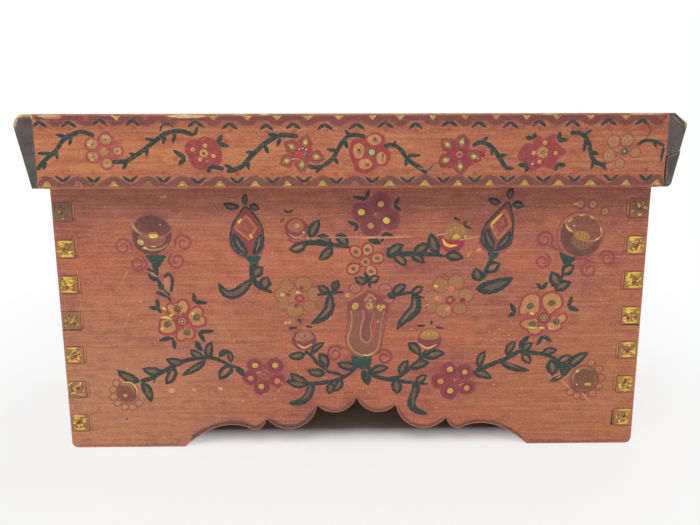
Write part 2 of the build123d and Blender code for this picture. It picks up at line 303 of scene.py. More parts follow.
def orange_ground(tree, place, along="x"):
    """The lid's paint: orange at the left end, browner towards the right, dirty near its edges."""
    axes = add(tree, "SeparateXYZ", {0: place}).outputs
    cloud = streaks(tree, place, along, 34 * mm, 12 * mm, 5, wander=0.6)
    mottle = streaks(tree, place, along, 7 * mm, 3 * mm, 6, offset=4, wander=0.4)
    grit = streaks(tree, place, along, 1.3 * mm, 0.9 * mm, 4, offset=8)
    grain = streaks(tree, place, along, 16 * mm, 1 * mm, 5, wander=0.4)
    fleck = streaks(tree, place, along, 1.3 * mm, 1 * mm, 2, offset=5)
    brushed = streaks(tree, place, along, 60 * mm, 1.8 * mm, 4, offset=15, wander=0.2)
    rightward = share_of(tree, axes["X"], -150 * mm, 140 * mm)
    upper = share_of(tree, axes["Z"], 170 * mm, 179 * mm, 0, 0.65)
    lower = share_of(tree, axes["Z"], 157 * mm, 149 * mm, 0, 0.55)
    facing = share_of(tree, axes["Y"], lid_front + 3 * mm, lid_front + 1 * mm)
    grimy = maths(tree, "MULTIPLY", maths(tree, "ADD", upper, lower), facing)
    paint = over(tree, rightward, linear("#DC8A58"), linear("#BE6C4C"))
    paint = over(tree, grimy, paint, linear("#A2583F"))
    layers = (
        (cloud, 0.45, 0.68, 0.7, "#B4604A"),
        (mottle, 0.54, 0.74, 0.5, "#965344"),
        (mottle, 0.46, 0.28, 0.35, "#EAA674"),
        (grain, 0.5, 0.72, 0.35, "#94523E"),
        (grain, 0.46, 0.28, 0.3, "#E8A878"),
        (brushed, 0.52, 0.68, 0.36, "#98523E"),
        (brushed, 0.47, 0.32, 0.3, "#E8A478"),
        (grit, 0.5, 0.7, 0.27, "#844A3A"),
        (grit, 0.48, 0.3, 0.25, "#EAA87C"),
        (fleck, 0.68, 0.78, 0.7, "#F0C498"),
        (fleck, 0.33, 0.25, 0.6, "#5E342E"),
    )
    return layered(tree, paint, layers)


def charcoal_ground(tree, place, along="y"):
    """The side rails' dark paint, greenish at the foot and rubbed off round the top corner."""
    axes = add(tree, "SeparateXYZ", {0: place}).outputs
    cloud = streaks(tree, place, along, 20 * mm, 5 * mm, 3)
    ragged = streaks(tree, place, along, 6 * mm, 1.5 * mm, 4, offset=6)
    patches = streaks(tree, place, along, 26 * mm, 9 * mm, 3, offset=4)
    low = share_of(tree, axes["Z"], 165 * mm, 150 * mm)
    high = share_of(tree, axes["Z"], 175.5 * mm, 179 * mm)
    paint = over(tree, low, linear("#6A5D5C"), linear("#5C5F54"))
    paint = layered(tree, paint, [(cloud, 0.4, 0.65, 0.7, "#4A4340")])
    across = maths(tree, "ABSOLUTE", axes["X"])
    level = add(tree, "CombineXYZ", {"X": across, "Z": axes["Z"]}).outputs[0]
    reach = measured(tree, "DISTANCE", level, rail_round_middle)
    felt = maths(tree, "ADD", reach, maths(tree, "MULTIPLY", ragged, 3.4 * mm))
    rim = share_of(tree, felt, 6.3 * mm, 6.9 * mm)
    corner = share_of(tree, measured(tree, "DOT_PRODUCT", place, (-1, -1, 0)), 205 * mm, 250 * mm)
    patch = maths(tree, "ADD", share_of(tree, patches, 0.42, 0.5), corner, clamp=True)
    rubbed = maths(tree, "MULTIPLY", maths(tree, "MULTIPLY", rim, patch), high)
    return over(tree, rubbed, paint, linear("#E0BE8C"))


def lid_underneath(tree, axes):
    """Bare on the underside of the top."""
    return share_of(tree, axes["Z"], lid_underside + 0.3 * mm, lid_underside + 0.1 * mm)


def never_bare(tree, axes):
    """Painted all over, since no place on the lid is two metres up."""
    return share_of(tree, axes["Z"], 2, 3)


def chipped(tree, axes):
    """Bare where the front corner of the right rail chipped off, beyond the chip's own plane."""
    place = add(tree, "CombineXYZ", {axis: axes[axis] for axis in "XYZ"}).outputs[0]
    reach = measured(tree, "DOT_PRODUCT", place, chip_normal)
    return share_of(tree, reach, chip_reach - 0.3 * mm, chip_reach - 0.1 * mm)


lid_top_finish = painted_board("orange_painted_top_board", orange_ground, "x", lid_underneath)
front_rail_finish = painted_board("orange_painted_rail", orange_ground, "x", never_bare)
side_rail_finish = painted_board("charcoal_painted_rail", charcoal_ground, "y", chipped)
lid_boards = (
    ("lid_top_board", 0.5, lid_top_finish),
    ("lid_front_rail", 0.6, front_rail_finish),
    ("lid_left_rail", 0.5, side_rail_finish),
    ("lid_right_rail", 0.5, side_rail_finish),
    ("lid_right_rail_glued_corner", 0.5, side_rail_finish),
)
for node, width, finish in lid_boards:
    eased(node, width * mm)
    finished(node, finish)
for nails in ("lid_front_rail_brads", "lid_left_rail_nails", "lid_right_rail_nails"):
    finished(nails, old_iron)

# The painter's marks. Casein colours mixed in a few pots and laid on wet with a round brush, in
# thin coats that stand a few hundredths of a millimetre proud. Each mark is a skin of paint with
# soft, slightly ragged edges, worn through to the ground along the grain.

first_lift, coat_lift, mark_lift = 0.025, 0.018, 0.0008
marks_in_lift = 21.3
edge_sink = 0.02
curve_step = 0.9
thinnest = 0.04
soft_spread, soft_most, dab_soft, deepest_rim = 0.3, 0.6, 0.3, 0.45
tip_length, tip_stops = 0.8, (0.13, 0.5)
shade_sway, dab_sway, ring_sway, stroke_sway = 0.07, 0.06, 0.05, (0.92, 1.06)
bristle_run, bristle_step = 400, 0.01
leaf_load, core_load, stem_load, tick_load, curl_load = 1.5, 0.62, 1.4, 1.8, 1.2
core_start, core_end = (0.2, 0.7), (0.82, 0.6)
curl_points, curl_angle, curl_shrink = 11, 52, 0.072
random.seed(11)

vine = "#284440"
deep_green = "#25504B"
olive = "#7D654C"
rust = "#B4714E"
ochre = "#C89A58"
yellow = "#F2D355"
crimson = "#A63F4B"
rose = "#A14A54"
dusky_rose = "#9A4650"
brown = "#83583F"

wet = []
presses = {
    "even": lambda t: 1,
    "line": lambda t: min(1, 1.7 - 1.2 * t),
    "tail": lambda t: 1 - 0.8 * t,
    "leaf": lambda t: math.sin(math.pi * t**0.85) ** 0.6,
}


def curve_through(points, loop, sharp):
    """Points about a millimetre apart on a smooth curve through the given ones, in mm."""
    knots = [Vector(point) for point in points]
    last = len(knots) - 1
    made = []
    for n in range(len(knots) if loop else last):
        if loop:
            a, b, c, d = (knots[(n + k) % len(knots)] for k in (-1, 0, 1, 2))
        else:
            a, b, c, d = (knots[min(max(n + k, 0), last)] for k in (-1, 0, 1, 2))
        steps = max(2, round((c - b).length / curve_step))
        for t in (step / steps for step in range(steps)):
            bend, twist = 2 * a - 5 * b + 4 * c - d, 3 * b - a - 3 * c + d
            bent = (2 * b + (c - a) * t + bend * t**2 + twist * t**3) / 2
            made.append(b.lerp(c, t) if sharp else bent)
    return made if loop else made + [knots[-1]]


def add_mark(spots, faces, colour, coat):
    """Keeps one mark. spots are (x, z, share of the coat's height, cover, bristle place)."""
    lift = first_lift + coat * coat_lift + len(wet) % marks_in_lift * mark_lift
    shade = 1 + random.uniform(-shade_sway, shade_sway)
    paint = [part * shade for part in linear(colour)[:3]]
    wet.append((spots, faces, paint, lift))


def brush(points, width, colour, coat=3, press="line", soft=0.25, cover=1, loop=False, sharp=False):
    """One brush stroke through the points, in mm across the face and up from the floor."""
    line = curve_through(points, loop, sharp)
    if loop:
        line.append(line[0])
    reach = [0.0]
    for before, after in zip(line, line[1:]):
        reach.append(reach[-1] + (after - before).length)
    length, radius = reach[-1], width / 2
    stops = list(reach)
    if not loop:
        tips = [radius * share for share in tip_stops]
        tip = radius * tip_length
        inner = [stop for stop in reach if tip < stop < length - tip]
        stops = [0.0] + tips + inner + [length - tip for tip in reversed(tips)] + [length]
        stops = sorted(stop for stop in stops if 0 <= stop <= length)
    spots, faces, span = [], [], 0
    start = random.uniform(0, bristle_run)
    for stop in stops:
        while span < len(reach) - 2 and reach[span + 1] < stop:
            span += 1
        gap = max(reach[span + 1] - reach[span], 1e-6)
        here = line[span].lerp(line[span + 1], (stop - reach[span]) / gap)
        heading = (line[span + 1] - line[span]).normalized()
        beside = Vector((-heading.y, heading.x))
        half = radius * presses[press](stop / length) * random.uniform(*stroke_sway)
        if not loop:
            tip = min(1, min(stop, length - stop) / radius)
            half *= math.sqrt(1 - (1 - tip) ** 2)
        half = max(half, thinnest) + soft_spread * soft
        rim = min(soft, half * soft_most)
        for offset, height in ((-half, 0), (rim - half, 1), (half - rim, 1), (half, 0)):
            spot = here - beside * offset
            spots.append((spot.x, spot.y, height, cover * height, (offset, start + stop)))
    for row in range(len(stops) - 1):
        first, after = 4 * row, 4 * row + 4
        faces += [(first + k + 1, after + k + 1, after + k, first + k) for k in range(3)]
    add_mark(spots, faces, colour, coat)


def shape(corners, colour, coat=2, soft=0.4, cover=1, sharp=False):
    """A filled patch of paint inside a closed outline, all of which can be seen from its middle."""
    outline = curve_through(corners, True, sharp)
    turn = sum(a.x * b.y - b.x * a.y for a, b in zip(outline, outline[1:] + outline[:1]))
    if turn < 0:
        outline.reverse()
    count = len(outline)
    middle = sum(outline, Vector((0, 0))) / count
    start = random.uniform(0, bristle_run)
    spots = [(p.x, p.y, 0, 0, (p.x, start + p.y)) for p in outline]
    for point in outline:
        inner = point.lerp(middle, min(deepest_rim, soft / (middle - point).length))
        spots.append((inner.x, inner.y, 1, cover, (inner.x, start + inner.y)))
    spots.append((middle.x, middle.y, 1, cover, (middle.x, start + middle.y)))
    faces = [(n, (n + 1) % count, count + (n + 1) % count, count + n) for n in range(count)]
    faces += [(count + n, count + (n + 1) % count, 2 * count) for n in range(count)]
    add_mark(spots, faces, colour, coat)


def oval(x, z, wide, high, sway, lean=0):
    """Eight points round an oval that leans by some degrees, each a little off by chance."""
    turned = math.radians(lean)
    corners = []
    for n in range(8):
        angle = n * math.pi / 4
        stretch = random.uniform(1 - sway, 1 + sway)
        east, north = wide * math.cos(angle) * stretch, high * math.sin(angle) * stretch
        across = x + east * math.cos(turned) - north * math.sin(turned)
        corners.append((across, z + east * math.sin(turned) + north * math.cos(turned)))
    return corners


def dab(x, z, wide, high, colour, coat=3, soft=0.35, cover=1, lean=0):
    """An oval touch of the brush, leaning by some degrees, never quite round."""
    corners = oval(x, z, wide / 2, high / 2, dab_sway, lean)
    shape(corners, colour, coat, min(soft, min(wide, high) * dab_soft), cover)


def dots(places, size, colour, coat=5, cover=1):
    """Small round touches of one size."""
    for x, z in places:
        dab(x, z, size, size, colour, coat, 0.3, cover)


def ring(x, z, radius, width, colour, coat=3, cover=1, high=None):
    """A hand-drawn ring, or an oval one when high gives its half height."""
    corners = oval(x, z, radius, high or radius, ring_sway)
    brush(corners, width, colour, coat, "even", 0.25, cover, loop=True)


def curl(x, z, radius, turn, colour, width=1.8, cover=0.95, begin=0):
    """A spiral curl round a middle. turn is 1 or -1, and begin is where it starts, in degrees."""
    points = []
    for n in range(curl_points):
        angle = math.radians(begin + turn * n * curl_angle)
        reach = radius * (1 - curl_shrink * n)
        points.append((x + reach * math.cos(angle), z + reach * math.sin(angle)))
    brush(points, width * curl_load, colour, 2, "line", 0.9, cover)


def leaf(base, tip, width=4, core=olive, bow=0.08):
    """A dark leaf from its base to its tip, with a lighter middle painted wet in wet."""
    a, b = Vector(base), Vector(tip)
    beside = Vector((a.y - b.y, b.x - a.x)) * bow
    middle = (a + b) / 2 + beside
    lick([a, middle, b], width * leaf_load, vine, 4, 0.25)
    if core:
        first, last = (a.lerp(b, share) + beside * aside for share, aside in (core_start, core_end))
        inner = [first, middle, last]
        lick(inner, width * core_load, core, 5, 0.35, 0.95)


def lick(points, width, colour, coat=5, soft=0.4, cover=1):
    """A stroke pressed down in its middle and lifted at both ends."""
    brush(points, width, colour, coat, "leaf", soft, cover)


def leaves(*rows):
    """Leaves given as rows of base, tip, width and colour of the middle."""
    for x, z, tip_x, tip_z, *rest in rows:
        leaf((x, z), (tip_x, tip_z), *rest)


def stem(points, width=2):
    """A dark stalk drawn in one go."""
    brush(points, width * stem_load, vine)


def tick(points, width=1.3):
    """A short angled touch of the dark green, its first arm drawn back from the corner."""
    arms = list(zip(points, points[1:]))
    arms[0] = arms[0][::-1] if len(arms) > 1 else arms[0]
    for n, arm in enumerate(arms):
        brush(arm, width * tick_load, vine, 3 + n % 2)


def paint_over(name, ground):
    """The finish of the marks: their own colour over the ground, thin where the grain stands up."""
    finish, tree, shader, place = new_finish(name)
    under = ground(tree, place)
    mark = add(tree, "Attribute", attribute_name="paint").outputs
    bristle = add(tree, "Attribute", attribute_name="bristle").outputs["Vector"]
    drawn = add(tree, "Mapping", {"Vector": bristle, "Scale": (2.6, 0.35, 1)}).outputs[0]
    hairs = add(tree, "TexNoise", {"Vector": drawn, "Scale": 1, "Detail": 2}).outputs["Fac"]
    wear = streaks(tree, place, "x", 1.8 * mm, 0.8 * mm, 5, offset=11)
    light = share_of(tree, hairs, 0.3, 0.7, 0.78, 1.24)
    lit = add(tree, "HueSaturation", {"Color": mark["Color"], "Value": light}).outputs[0]
    thick = maths(tree, "MULTIPLY", mark["Alpha"], 1.6)
    thin = maths(tree, "MULTIPLY", wear, 1.25)
    cover = maths(tree, "SUBTRACT", thick, thin, clamp=True)
    parts = {
        "Base Color": over(tree, cover, under, lit),
        "Roughness": share_of(tree, hairs, 0.3, 0.7, 0.45, 0.6),
        "Normal": grain_relief(tree, place, "x", brushed_depth),
    }
    fill(tree, shader, parts)
    return finish


def lay(name, face_y, body, finish):
    """Lays the wet marks on a face as one painted piece that moves with a body."""
    places, faces, colours, bristles = [], [], [], []
    for spots, sides, paint, lift in wet:
        start = len(places)
        for x, z, height, cover, bristle in spots:
            rise = lift * height - edge_sink * (1 - height)
            places.append((x * mm, face_y - rise * mm, z * mm))
            colours += (*paint, cover)
            bristles += (*bristle, start * bristle_step)
        faces += [tuple(start + corner for corner in side) for side in sides]
    wet.clear()
    mesh = bpy.data.meshes.new(name)
    mesh.from_pydata(places, [], faces)
    paint_field = mesh.attributes.new("paint", "FLOAT_COLOR", "POINT")
    paint_field.data.foreach_set("color", colours)
    bristle_field = mesh.attributes.new("bristle", "FLOAT_VECTOR", "POINT")
    bristle_field.data.foreach_set("vector", bristles)
    mesh.materials.append(finish)
    mesh.shade_smooth()
    made = bpy.data.objects.new(name, mesh)
    bpy.context.collection.objects.link(made)
    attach(made, body)


wall_paint = paint_over("casein_colours_on_terracotta", terracotta_ground)
rail_paint = paint_over("casein_colours_on_orange", orange_ground)
rim_paint = paint_over("colours_on_charcoal", charcoal_ground)


def lay_on_wall(name):
    """Lays the wet marks on the front of the body."""
    lay(name, -half_depth, "box_body", wall_paint)


def lay_on_lid(name):
    """Lays the wet marks on the front of the lid."""
    lay(name, lid_front, "lid", rail_paint)


# The painted finger ends. The ends of the side boards show at both edges of the front, each
# dabbed with yellow over olive round a red dot, with a red line drawn down the joints.

finger_ends = [
    (10.2, 19.8, (-155, 15)), (30.2, 39.3, (-154, 35.5)), (50.2, 59.4, (-154, 54)),
    (69.8, 79.3, (-153, 73)), (89.8, 99.2, (-155, 93)), (109.3, 118.8, (-155, 114)),
    (129.2, 138.8, (-155, 133.5)),
]
end_bases = ("#8E6E52", "#8E6E52", "#96724E", "#A07A50", "#A47E4C", "#AC864A", "#AE8A48")
end_yellows = ("#FFDE52", "#EFC64A", "#D8A648")
end_darks = ("#6A5636", "#7E4A3A", "#57503A")


def finger_end(inner, outer, low, high, dot, bright):
    """One painted finger end between two places across and two heights, brighter from 0 to 6."""
    side = 1 if outer > inner else -1
    seam = "#863A3A"
    edge = inner - side * 0.4
    brush([(edge, low - 0.4), (edge, high + 0.4)], 1.1, seam, 0, "line", 0.3, 0.95)
    for z in (high + 0.3, low - 0.3):
        brush([(inner, z), (outer, z)], 0.9, seam, 0, "line", 0.3, 0.9)
    corners = [(inner, low), (outer, low), (outer, high), (inner, high)]
    shape(corners, end_bases[bright], 1, 0.5, sharp=True)
    dab((inner + outer) / 2, high + 5.2, 9.4, 7.8, "#97504C", 0, 2.4, 0.5)

    def touch(wide, tall, hues, coat, lean):
        x = inner + (outer - inner) * random.uniform(0.14, 0.86)
        z = low + (high - low) * random.uniform(0.12, 0.88)
        across, up = wide * random.uniform(0.4, 1), tall * random.uniform(0.5, 1)
        dab(x, z, across, up, random.choice(hues), coat, 0.5, 0.95, lean)

    for n in range(2 * bright + 1):
        touch(4.6, 2.8, end_yellows, 2, n * 37)
    for n in range(11):
        touch(2.6, 1.6, end_darks, 3, n * 61)
    for n in range(bright + 1):
        touch(2.4, 1.2, end_yellows[:1], 4, n * 41)
    if bright > 3:
        for z in (low + 0.9, high - 0.9):
            start, end = random.uniform(0.6, 3), random.uniform(0.6, 3)
            streak = [(inner + side * start, z), (outer - side * end, z + 0.2)]
            lick(streak, 1.4, end_yellows[0], 4, 0.4, 0.9)
    dab(*dot, 3, 2.6, "#A03638", 5, 0.5, 1, 20)
    line = inner - side * 1.7
    brush([(line, low - 0.2), (line, high + 0.2)], 0.9, "#8A3E3A", 2, "tail", 0.3, 0.85)
    line += side * 0.8
    brush([(line, low + 2), (line, high)], 0.7, "#D89A6C", 1, "line", 0.2, 0.8)


# The top finger end on each side gets that side's lowest brightness, which is painted shade under the
# lid.
for (low, high, dot), bright in zip(finger_ends, (4, 3, 4, 2, 6, 4, 0)):
    finger_end(-149.7, -159.6, low, high, dot, bright)
brush([(-149.6, 69.2), (-159.6, 69.2)], 0.8, "#1E1614", 3, "even", 0.2)
lay_on_wall("left_finger_ends_paint")
for (low, high, dot), bright in zip(finger_ends, (4, 5, 4, 6, 6, 5, 2)):
    finger_end(149.4, 159.6, low + 0.8, high + 1, (-dot[0], dot[1] + 1), bright)
brush([(149.6, 70.3), (159.6, 70.3)], 0.8, "#1E1614", 3, "even", 0.2)
brush([(148.2, 11), (148.2, 20)], 0.9, "#2A1C18", 3, "even", 0.2)
lay_on_wall("right_finger_ends_paint")

# The nails through the walls and the brads of the front rail. Their heads are set below the wood,
# and the holes are filled with putty and painted in with the ground.

filler_width = 4.2
nail_level, brad_level = 34, 176.4
dots([(x, nail_level) for x in (-102, -51, 0, 51, 102)], filler_width, brown, 0, 0)
lay_on_wall("wall_nail_filler")
dots([(x, brad_level) for x in (-118, -78.67, -39.33, 0, 39.33, 78.67, 118)], filler_width, brown, 0, 0)
lay_on_lid("rail_brad_filler")

# Two pomegranates at the top corners. Brown rounds in a rose ring, opened at the crown to show
# the seeds, on short stalks with four curls.

dab(-108, 121.6, 28, 27, "#8E4C4C", 0, 3.6, 0.5)
dab(-108, 121.6, 23, 22.6, "#774A42", 1, 1.2)
dab(-107.6, 119.8, 19, 15, "#8A6250", 2, 3, 0.8)
shape([(-118, 127.5), (-113.6, 132), (-107.4, 133), (-101, 131), (-97.6, 127), (-97, 123.6),
       (-103.4, 120), (-111, 121.3), (-115.7, 124)], "#7C4E48", 3, 1.4)
for x, z in ((-113.6, 130.4), (-109.4, 131.8), (-105, 131.6), (-100.4, 128.6)):
    brush([(x, z), (-107, 123)], 1.2, "#6A403A", 4, "tail", 0.3)
brush([(-111, 132.5), (-106, 132.9), (-101, 130.4), (-98.2, 126.6)], 1, "#946458", 4, "line", 0.4)
lick([(-115.4, 120.4), (-108, 117.6), (-100.6, 119.4)], 3.2, "#70483A", 3, 1.2, 0.7)
lick([(-118.2, 128.6), (-116.6, 124.8), (-113.2, 121.8)], 2, "#C8A468", 4, 0.6, 0.9)
brush([(-113, 121.5), (-108, 119.8), (-103, 119.8), (-97.2, 123.8)],
      1.1, "#A88060", 4, "line", 0.4, 0.85)
brush([(-113.4, 114.6), (-107.9, 113.4), (-102.5, 114.4), (-99.6, 116.9)],
      1.4, "#C09C5C", 4, "line", 0.5, 0.9)
dab(-107, 121.4, 7.4, 4.6, "#BC7F3C", 4, 0.6)
dab(-106.9, 120.9, 6.2, 3, "#F0D462", 5, 0.5)
brush([(-108.6, 120.5), (-105.4, 120.4)], 1.2, "#FBF2BC", 6)
dab(-114, 117.6, 4.8, 3.6, "#CDB862", 4, 0.7, 0.95, -30)
dab(-113.4, 118, 2.4, 1.8, "#E8DA8C", 5, 0.4)
brush([(-112.8, 114.8), (-110.4, 114.3)], 1.1, "#F4E6A8", 5)
brush([(-108.7, 115.4), (-105.7, 115.2)], 1.1, "#E6D09A", 5)
dots([(-103, 127)], 1.3, "#D8B8A8")
curl(-123.6, 115.2, 5, 1, rose, 1.7, 0.9, begin=-20)
curl(-116, 105.8, 4.8, -1, rose, begin=60)
curl(-95, 107.5, 4.9, 1, rose, begin=120)
curl(-91, 117, 5, -1, rose, 1.7, 0.9, begin=200)
shape([(-112, 110.4), (-106.3, 110.9), (-100.7, 110.2), (-103, 106.4), (-105, 103.6), (-108.6, 103.6),
       (-109.2, 106.2)], deep_green, 3, 0.3)
brush([(-107, 105), (-106.7, 101.6), (-106.2, 98.6)], 3, vine)
brush([(-111.5, 103.2), (-107.4, 101)], 1.7, vine)
lick([(-111, 101.2), (-108.4, 98.4), (-104.6, 96.4)], 3.8, vine, 3, 0.25)
lick([(-110.7, 101.6), (-108, 99.8), (-105.6, 98.4)], 1.8, "#CB865F", 5, 0.3)
brush([(-105.4, 97), (-104.6, 92.4), (-101.4, 88.8), (-99.8, 84.8)], 2.4, vine)
brush([(-102.6, 98.4), (-100.4, 100.3), (-98.4, 98.6), (-98.2, 95), (-99.4, 90.4)],
      1.8, vine, 4, "even")
dab(-101.1, 94.6, 3.6, 8.6, "#D08E68", 5, 0.5, 0.95, 8)
shape([(-105, 96), (-103, 94), (-102.4, 90.2), (-99.6, 89.6), (-101, 86.8), (-107.8, 89.6), (-105, 92.4)],
      vine, 4)
lick([(-108, 91.6), (-103.6, 90.6), (-100, 87)], 1.8, "#94705A", 5, 0.4, 0.9)
lay_on_wall("left_pomegranate_paint")

ring(123.5, 120, 12.6, 1.4, rose, 0, 0.75)
dab(123.5, 119.8, 24, 24, "#774E44", 1, 1.2)
dab(125, 117.6, 18.4, 15.4, "#8A6650", 1, 3, 0.85)
for n in range(9):
    x = 114.4 + n * 2.3
    brush([(x, 119 - n * 0.3), (x + 1.2, 112.6 + abs(n - 4) * 0.7)], 0.7, "#6E4A34", 2, "line", 0.2)
shape([(115, 127), (118, 130.5), (124, 132), (130, 130.5), (134, 126.5), (135, 120.8), (131, 117.5),
       (124, 118), (119.6, 121)], "#94604E", 2, 0.5, 0.95)
for x, z in (
    (117, 127.5), (119.8, 129.8), (123.5, 131), (127.3, 130.7), (130.8, 128.8), (133.2, 125.2),
    (134, 121.5), (131.2, 119),
):
    brush([(x, z), (124.5, 122)], 1, "#7E4A40", 3, "tail", 0.2, 0.85)
brush([(120.5, 121.5), (115, 127), (118, 130.3), (124, 131.8), (130, 130.3), (133.7, 126.2),
       (135, 120.8), (131, 117.4), (124, 118), (120, 121)], 1.1, "#BE8A4E", 4, "even", 0.4, 0.85)
for points in (
    [(115.2, 126.8), (116.2, 124.6), (118.8, 122)], [(116, 127.6), (119, 129.6)],
    [(122, 131.2), (125.4, 131.5)], [(128, 130.8), (130.6, 129.2)], [(134.2, 124.8), (135.2, 121.4)],
    [(134, 119), (131.8, 117.6)],
):
    lick(points, 1.6, "#EAC06A", 5, 0.4, 0.95)
dab(124.6, 120.2, 9.6, 5.8, "#B4803E", 4, 0.6, 1, -12)
dots([(122, 121), (124.2, 121.4), (126.4, 120.6), (123.6, 119.4), (126, 118.8), (128, 119.2)],
     1.3, "#D8A85A", 5, 0.9)
dots([(119.8, 125.6)], 1.3, "#F6E6D0")
for x, z, radius in ((122.4, 137.3, 2.7), (129.2, 137.1, 2.6), (136, 133.2, 2.3)):
    ring(x, z, radius, 1, "#9C5450", 3, 0.9)
    dab(x, z, radius * 1.5, radius * 1.5, "#CE9C6C", 3, 0.4, 0.95)
    dots([(x, z)], 1.3, "#6C4C42", 5, 0.9)
dab(119.9, 137.3, 2.6, 2.2, "#EFC25E", 4, 0.4)
for points in (
    [(122.3, 135), (123, 132.5)], [(128.5, 135.2), (127.8, 132.5)], [(134.3, 132), (132.5, 129.8)],
):
    brush(points, 1, rose, 2, cover=0.9)
curl(104, 118.2, 4.9, 1, rose, begin=-40)
brush([(107.4, 114.6), (111, 112.8), (115.5, 112.6)], 1.7, rose, 2, cover=0.95)
curl(103.5, 106.3, 4.5, -1, rose, begin=70)
curl(139, 107.5, 4.8, -1, rose, begin=170)
curl(129.5, 101.3, 4.9, 1, rose, begin=60)
brush([(120, 108.4), (126, 107.4), (131.6, 105.2)], 1.6, rose, 2, cover=0.9)
shape([(112.4, 111.2), (116.8, 109.7), (122, 107.7), (119.4, 104.8), (117.4, 103.2), (115.6, 103.6),
       (113.7, 107)], deep_green, 3, 0.3)
stem([(117.3, 105), (115.6, 100), (114.5, 96.5)])
leaves((114.8, 98.2, 121.6, 104, 4.8, rust), (115.2, 92, 108.6, 101, 5), (111, 89.6, 120.4, 94.4, 4.4))
brush([(103.2, 99.8), (102.6, 94.6)], 2.2, "#BC6A50", 1, cover=0.6)
brush([(105.2, 99.6), (105, 95.4)], 1.6, rose, 1, cover=0.6)
lay_on_wall("right_pomegranate_paint")

# Two yellow flowers below the pomegranates: four or five dabbed ochre petals in crimson outlines
# over a rosy stain, with small angled leaves round them.


def yellow_flower(middle, petals, spots, strokes, ticks):
    """Ochre petals given as outlines, with dark spots, bright strokes and ticks round them."""
    dab(*middle, 27, 25, "#B4505A", 0, 4, 0.7)
    for petal in petals:
        brush(petal, 2.5, "#AC484E", 1, "even", 0.6, loop=True)
    dab(*middle, 10, 9, "#A2404A", 1, 1.5)
    for petal in petals:
        shape(petal, "#D0965A", 2, 0.6)
    for x, z in spots:
        for n in range(7):
            angle = n * 0.9 + random.uniform(-0.3, 0.3)
            reach = random.uniform(2, 3)
            hue = random.choice(("#E0B05E", "#B47C44", "#B97646"))
            place = (x + reach * math.cos(angle), z + reach * math.sin(angle))
            dab(*place, 2.4, 0.9, hue, 3, 0.4, 0.75, math.degrees(angle) + 90)
        dab(x, z, 5.2, 4.6, "#6C604E", 4, 0.6, 1, 20)
        dab(x + 0.5, z + 0.3, 2.4, 1, "#8E8066", 5, 0.4, 1, 30)
    for points in strokes:
        lick(points, 1.7, "#FADB56", 5, 0.4, 0.95)
    dab(*middle, 4.8, 4.6, "#B4905E", 3, 0.4)
    dab(*middle, 3.2, 3, "#7C5646", 4, 0.3)
    dots([middle], 1.7, "#F0D888", 5)
    for points in ticks:
        tick(points, 1.5)


yellow_flower(
    (-94, 73.7),
    [
        [
            (-101.6, 83), (-99.7, 83.7), (-97.6, 82.7), (-96, 81.8), (-95.4, 79.3), (-97.3, 77.3),
            (-99.2, 76.9), (-100.6, 78.5), (-101.7, 80.5),
        ],
        [
            (-95.8, 84.1), (-93.5, 85.7), (-91.5, 85.2), (-90.2, 83), (-90.1, 81.1), (-91, 79.1),
            (-92.4, 77.9), (-94.4, 79.2), (-96.3, 80.5),
        ],
        [
            (-88.3, 80.5), (-85.9, 81.6), (-83.5, 81.1), (-82.5, 78.5), (-83.2, 76.9), (-81.6, 75.1),
            (-81.4, 72.9), (-83, 71.3), (-86.1, 70.9), (-88.5, 71.5), (-89.4, 73.2), (-90.6, 75.6),
            (-90.4, 77.9),
        ],
        [
            (-95.3, 69.2), (-93.1, 69.8), (-90.1, 69.8), (-88, 68.8), (-87.7, 66.6), (-88.8, 64.1),
            (-90.7, 63.9), (-92.4, 64.6), (-93.5, 63.4), (-95.6, 62.8), (-97.1, 64.1), (-97.3, 66.3),
            (-96.3, 68.2),
        ],
        [
            (-105.7, 74), (-103.5, 75.4), (-100.5, 74.9), (-98.7, 74.1), (-97.6, 71.7), (-97.5, 69.2),
            (-99.1, 67.6), (-101.9, 66.7), (-104.9, 67), (-106.6, 68.6), (-106.2, 71.1),
        ],
    ],
    [(-96.2, 80.6), (-85.9, 75.9), (-91.6, 67.4), (-102, 72.1)],
    [
        [(-105.6, 75.7), (-102.9, 76), (-99.3, 74.8)], [(-104.4, 81.6), (-102.3, 80.2)],
        [(-88.8, 77.8), (-86.9, 78.4)], [(-106, 69.2), (-104.4, 70.2)], [(-101, 76.6), (-98.4, 78)],
    ],
    [
        [(-112, 81.8), (-107, 81), (-105, 78.6)], [(-107.2, 86.4), (-106.4, 81)],
        [(-87, 89.8), (-86.5, 84.4), (-79.6, 84.2)], [(-76.6, 68.2), (-85, 67.6), (-82, 61.6)],
        [(-107.4, 62.5), (-101, 64.6), (-99, 63), (-99, 57.6)],
    ],
)
lick([(-93.4, 70.7), (-91, 71.4), (-89.1, 71.5)], 1, "#D8604C", 5, 0.3, 0.9)
lay_on_wall("left_yellow_flower_paint")

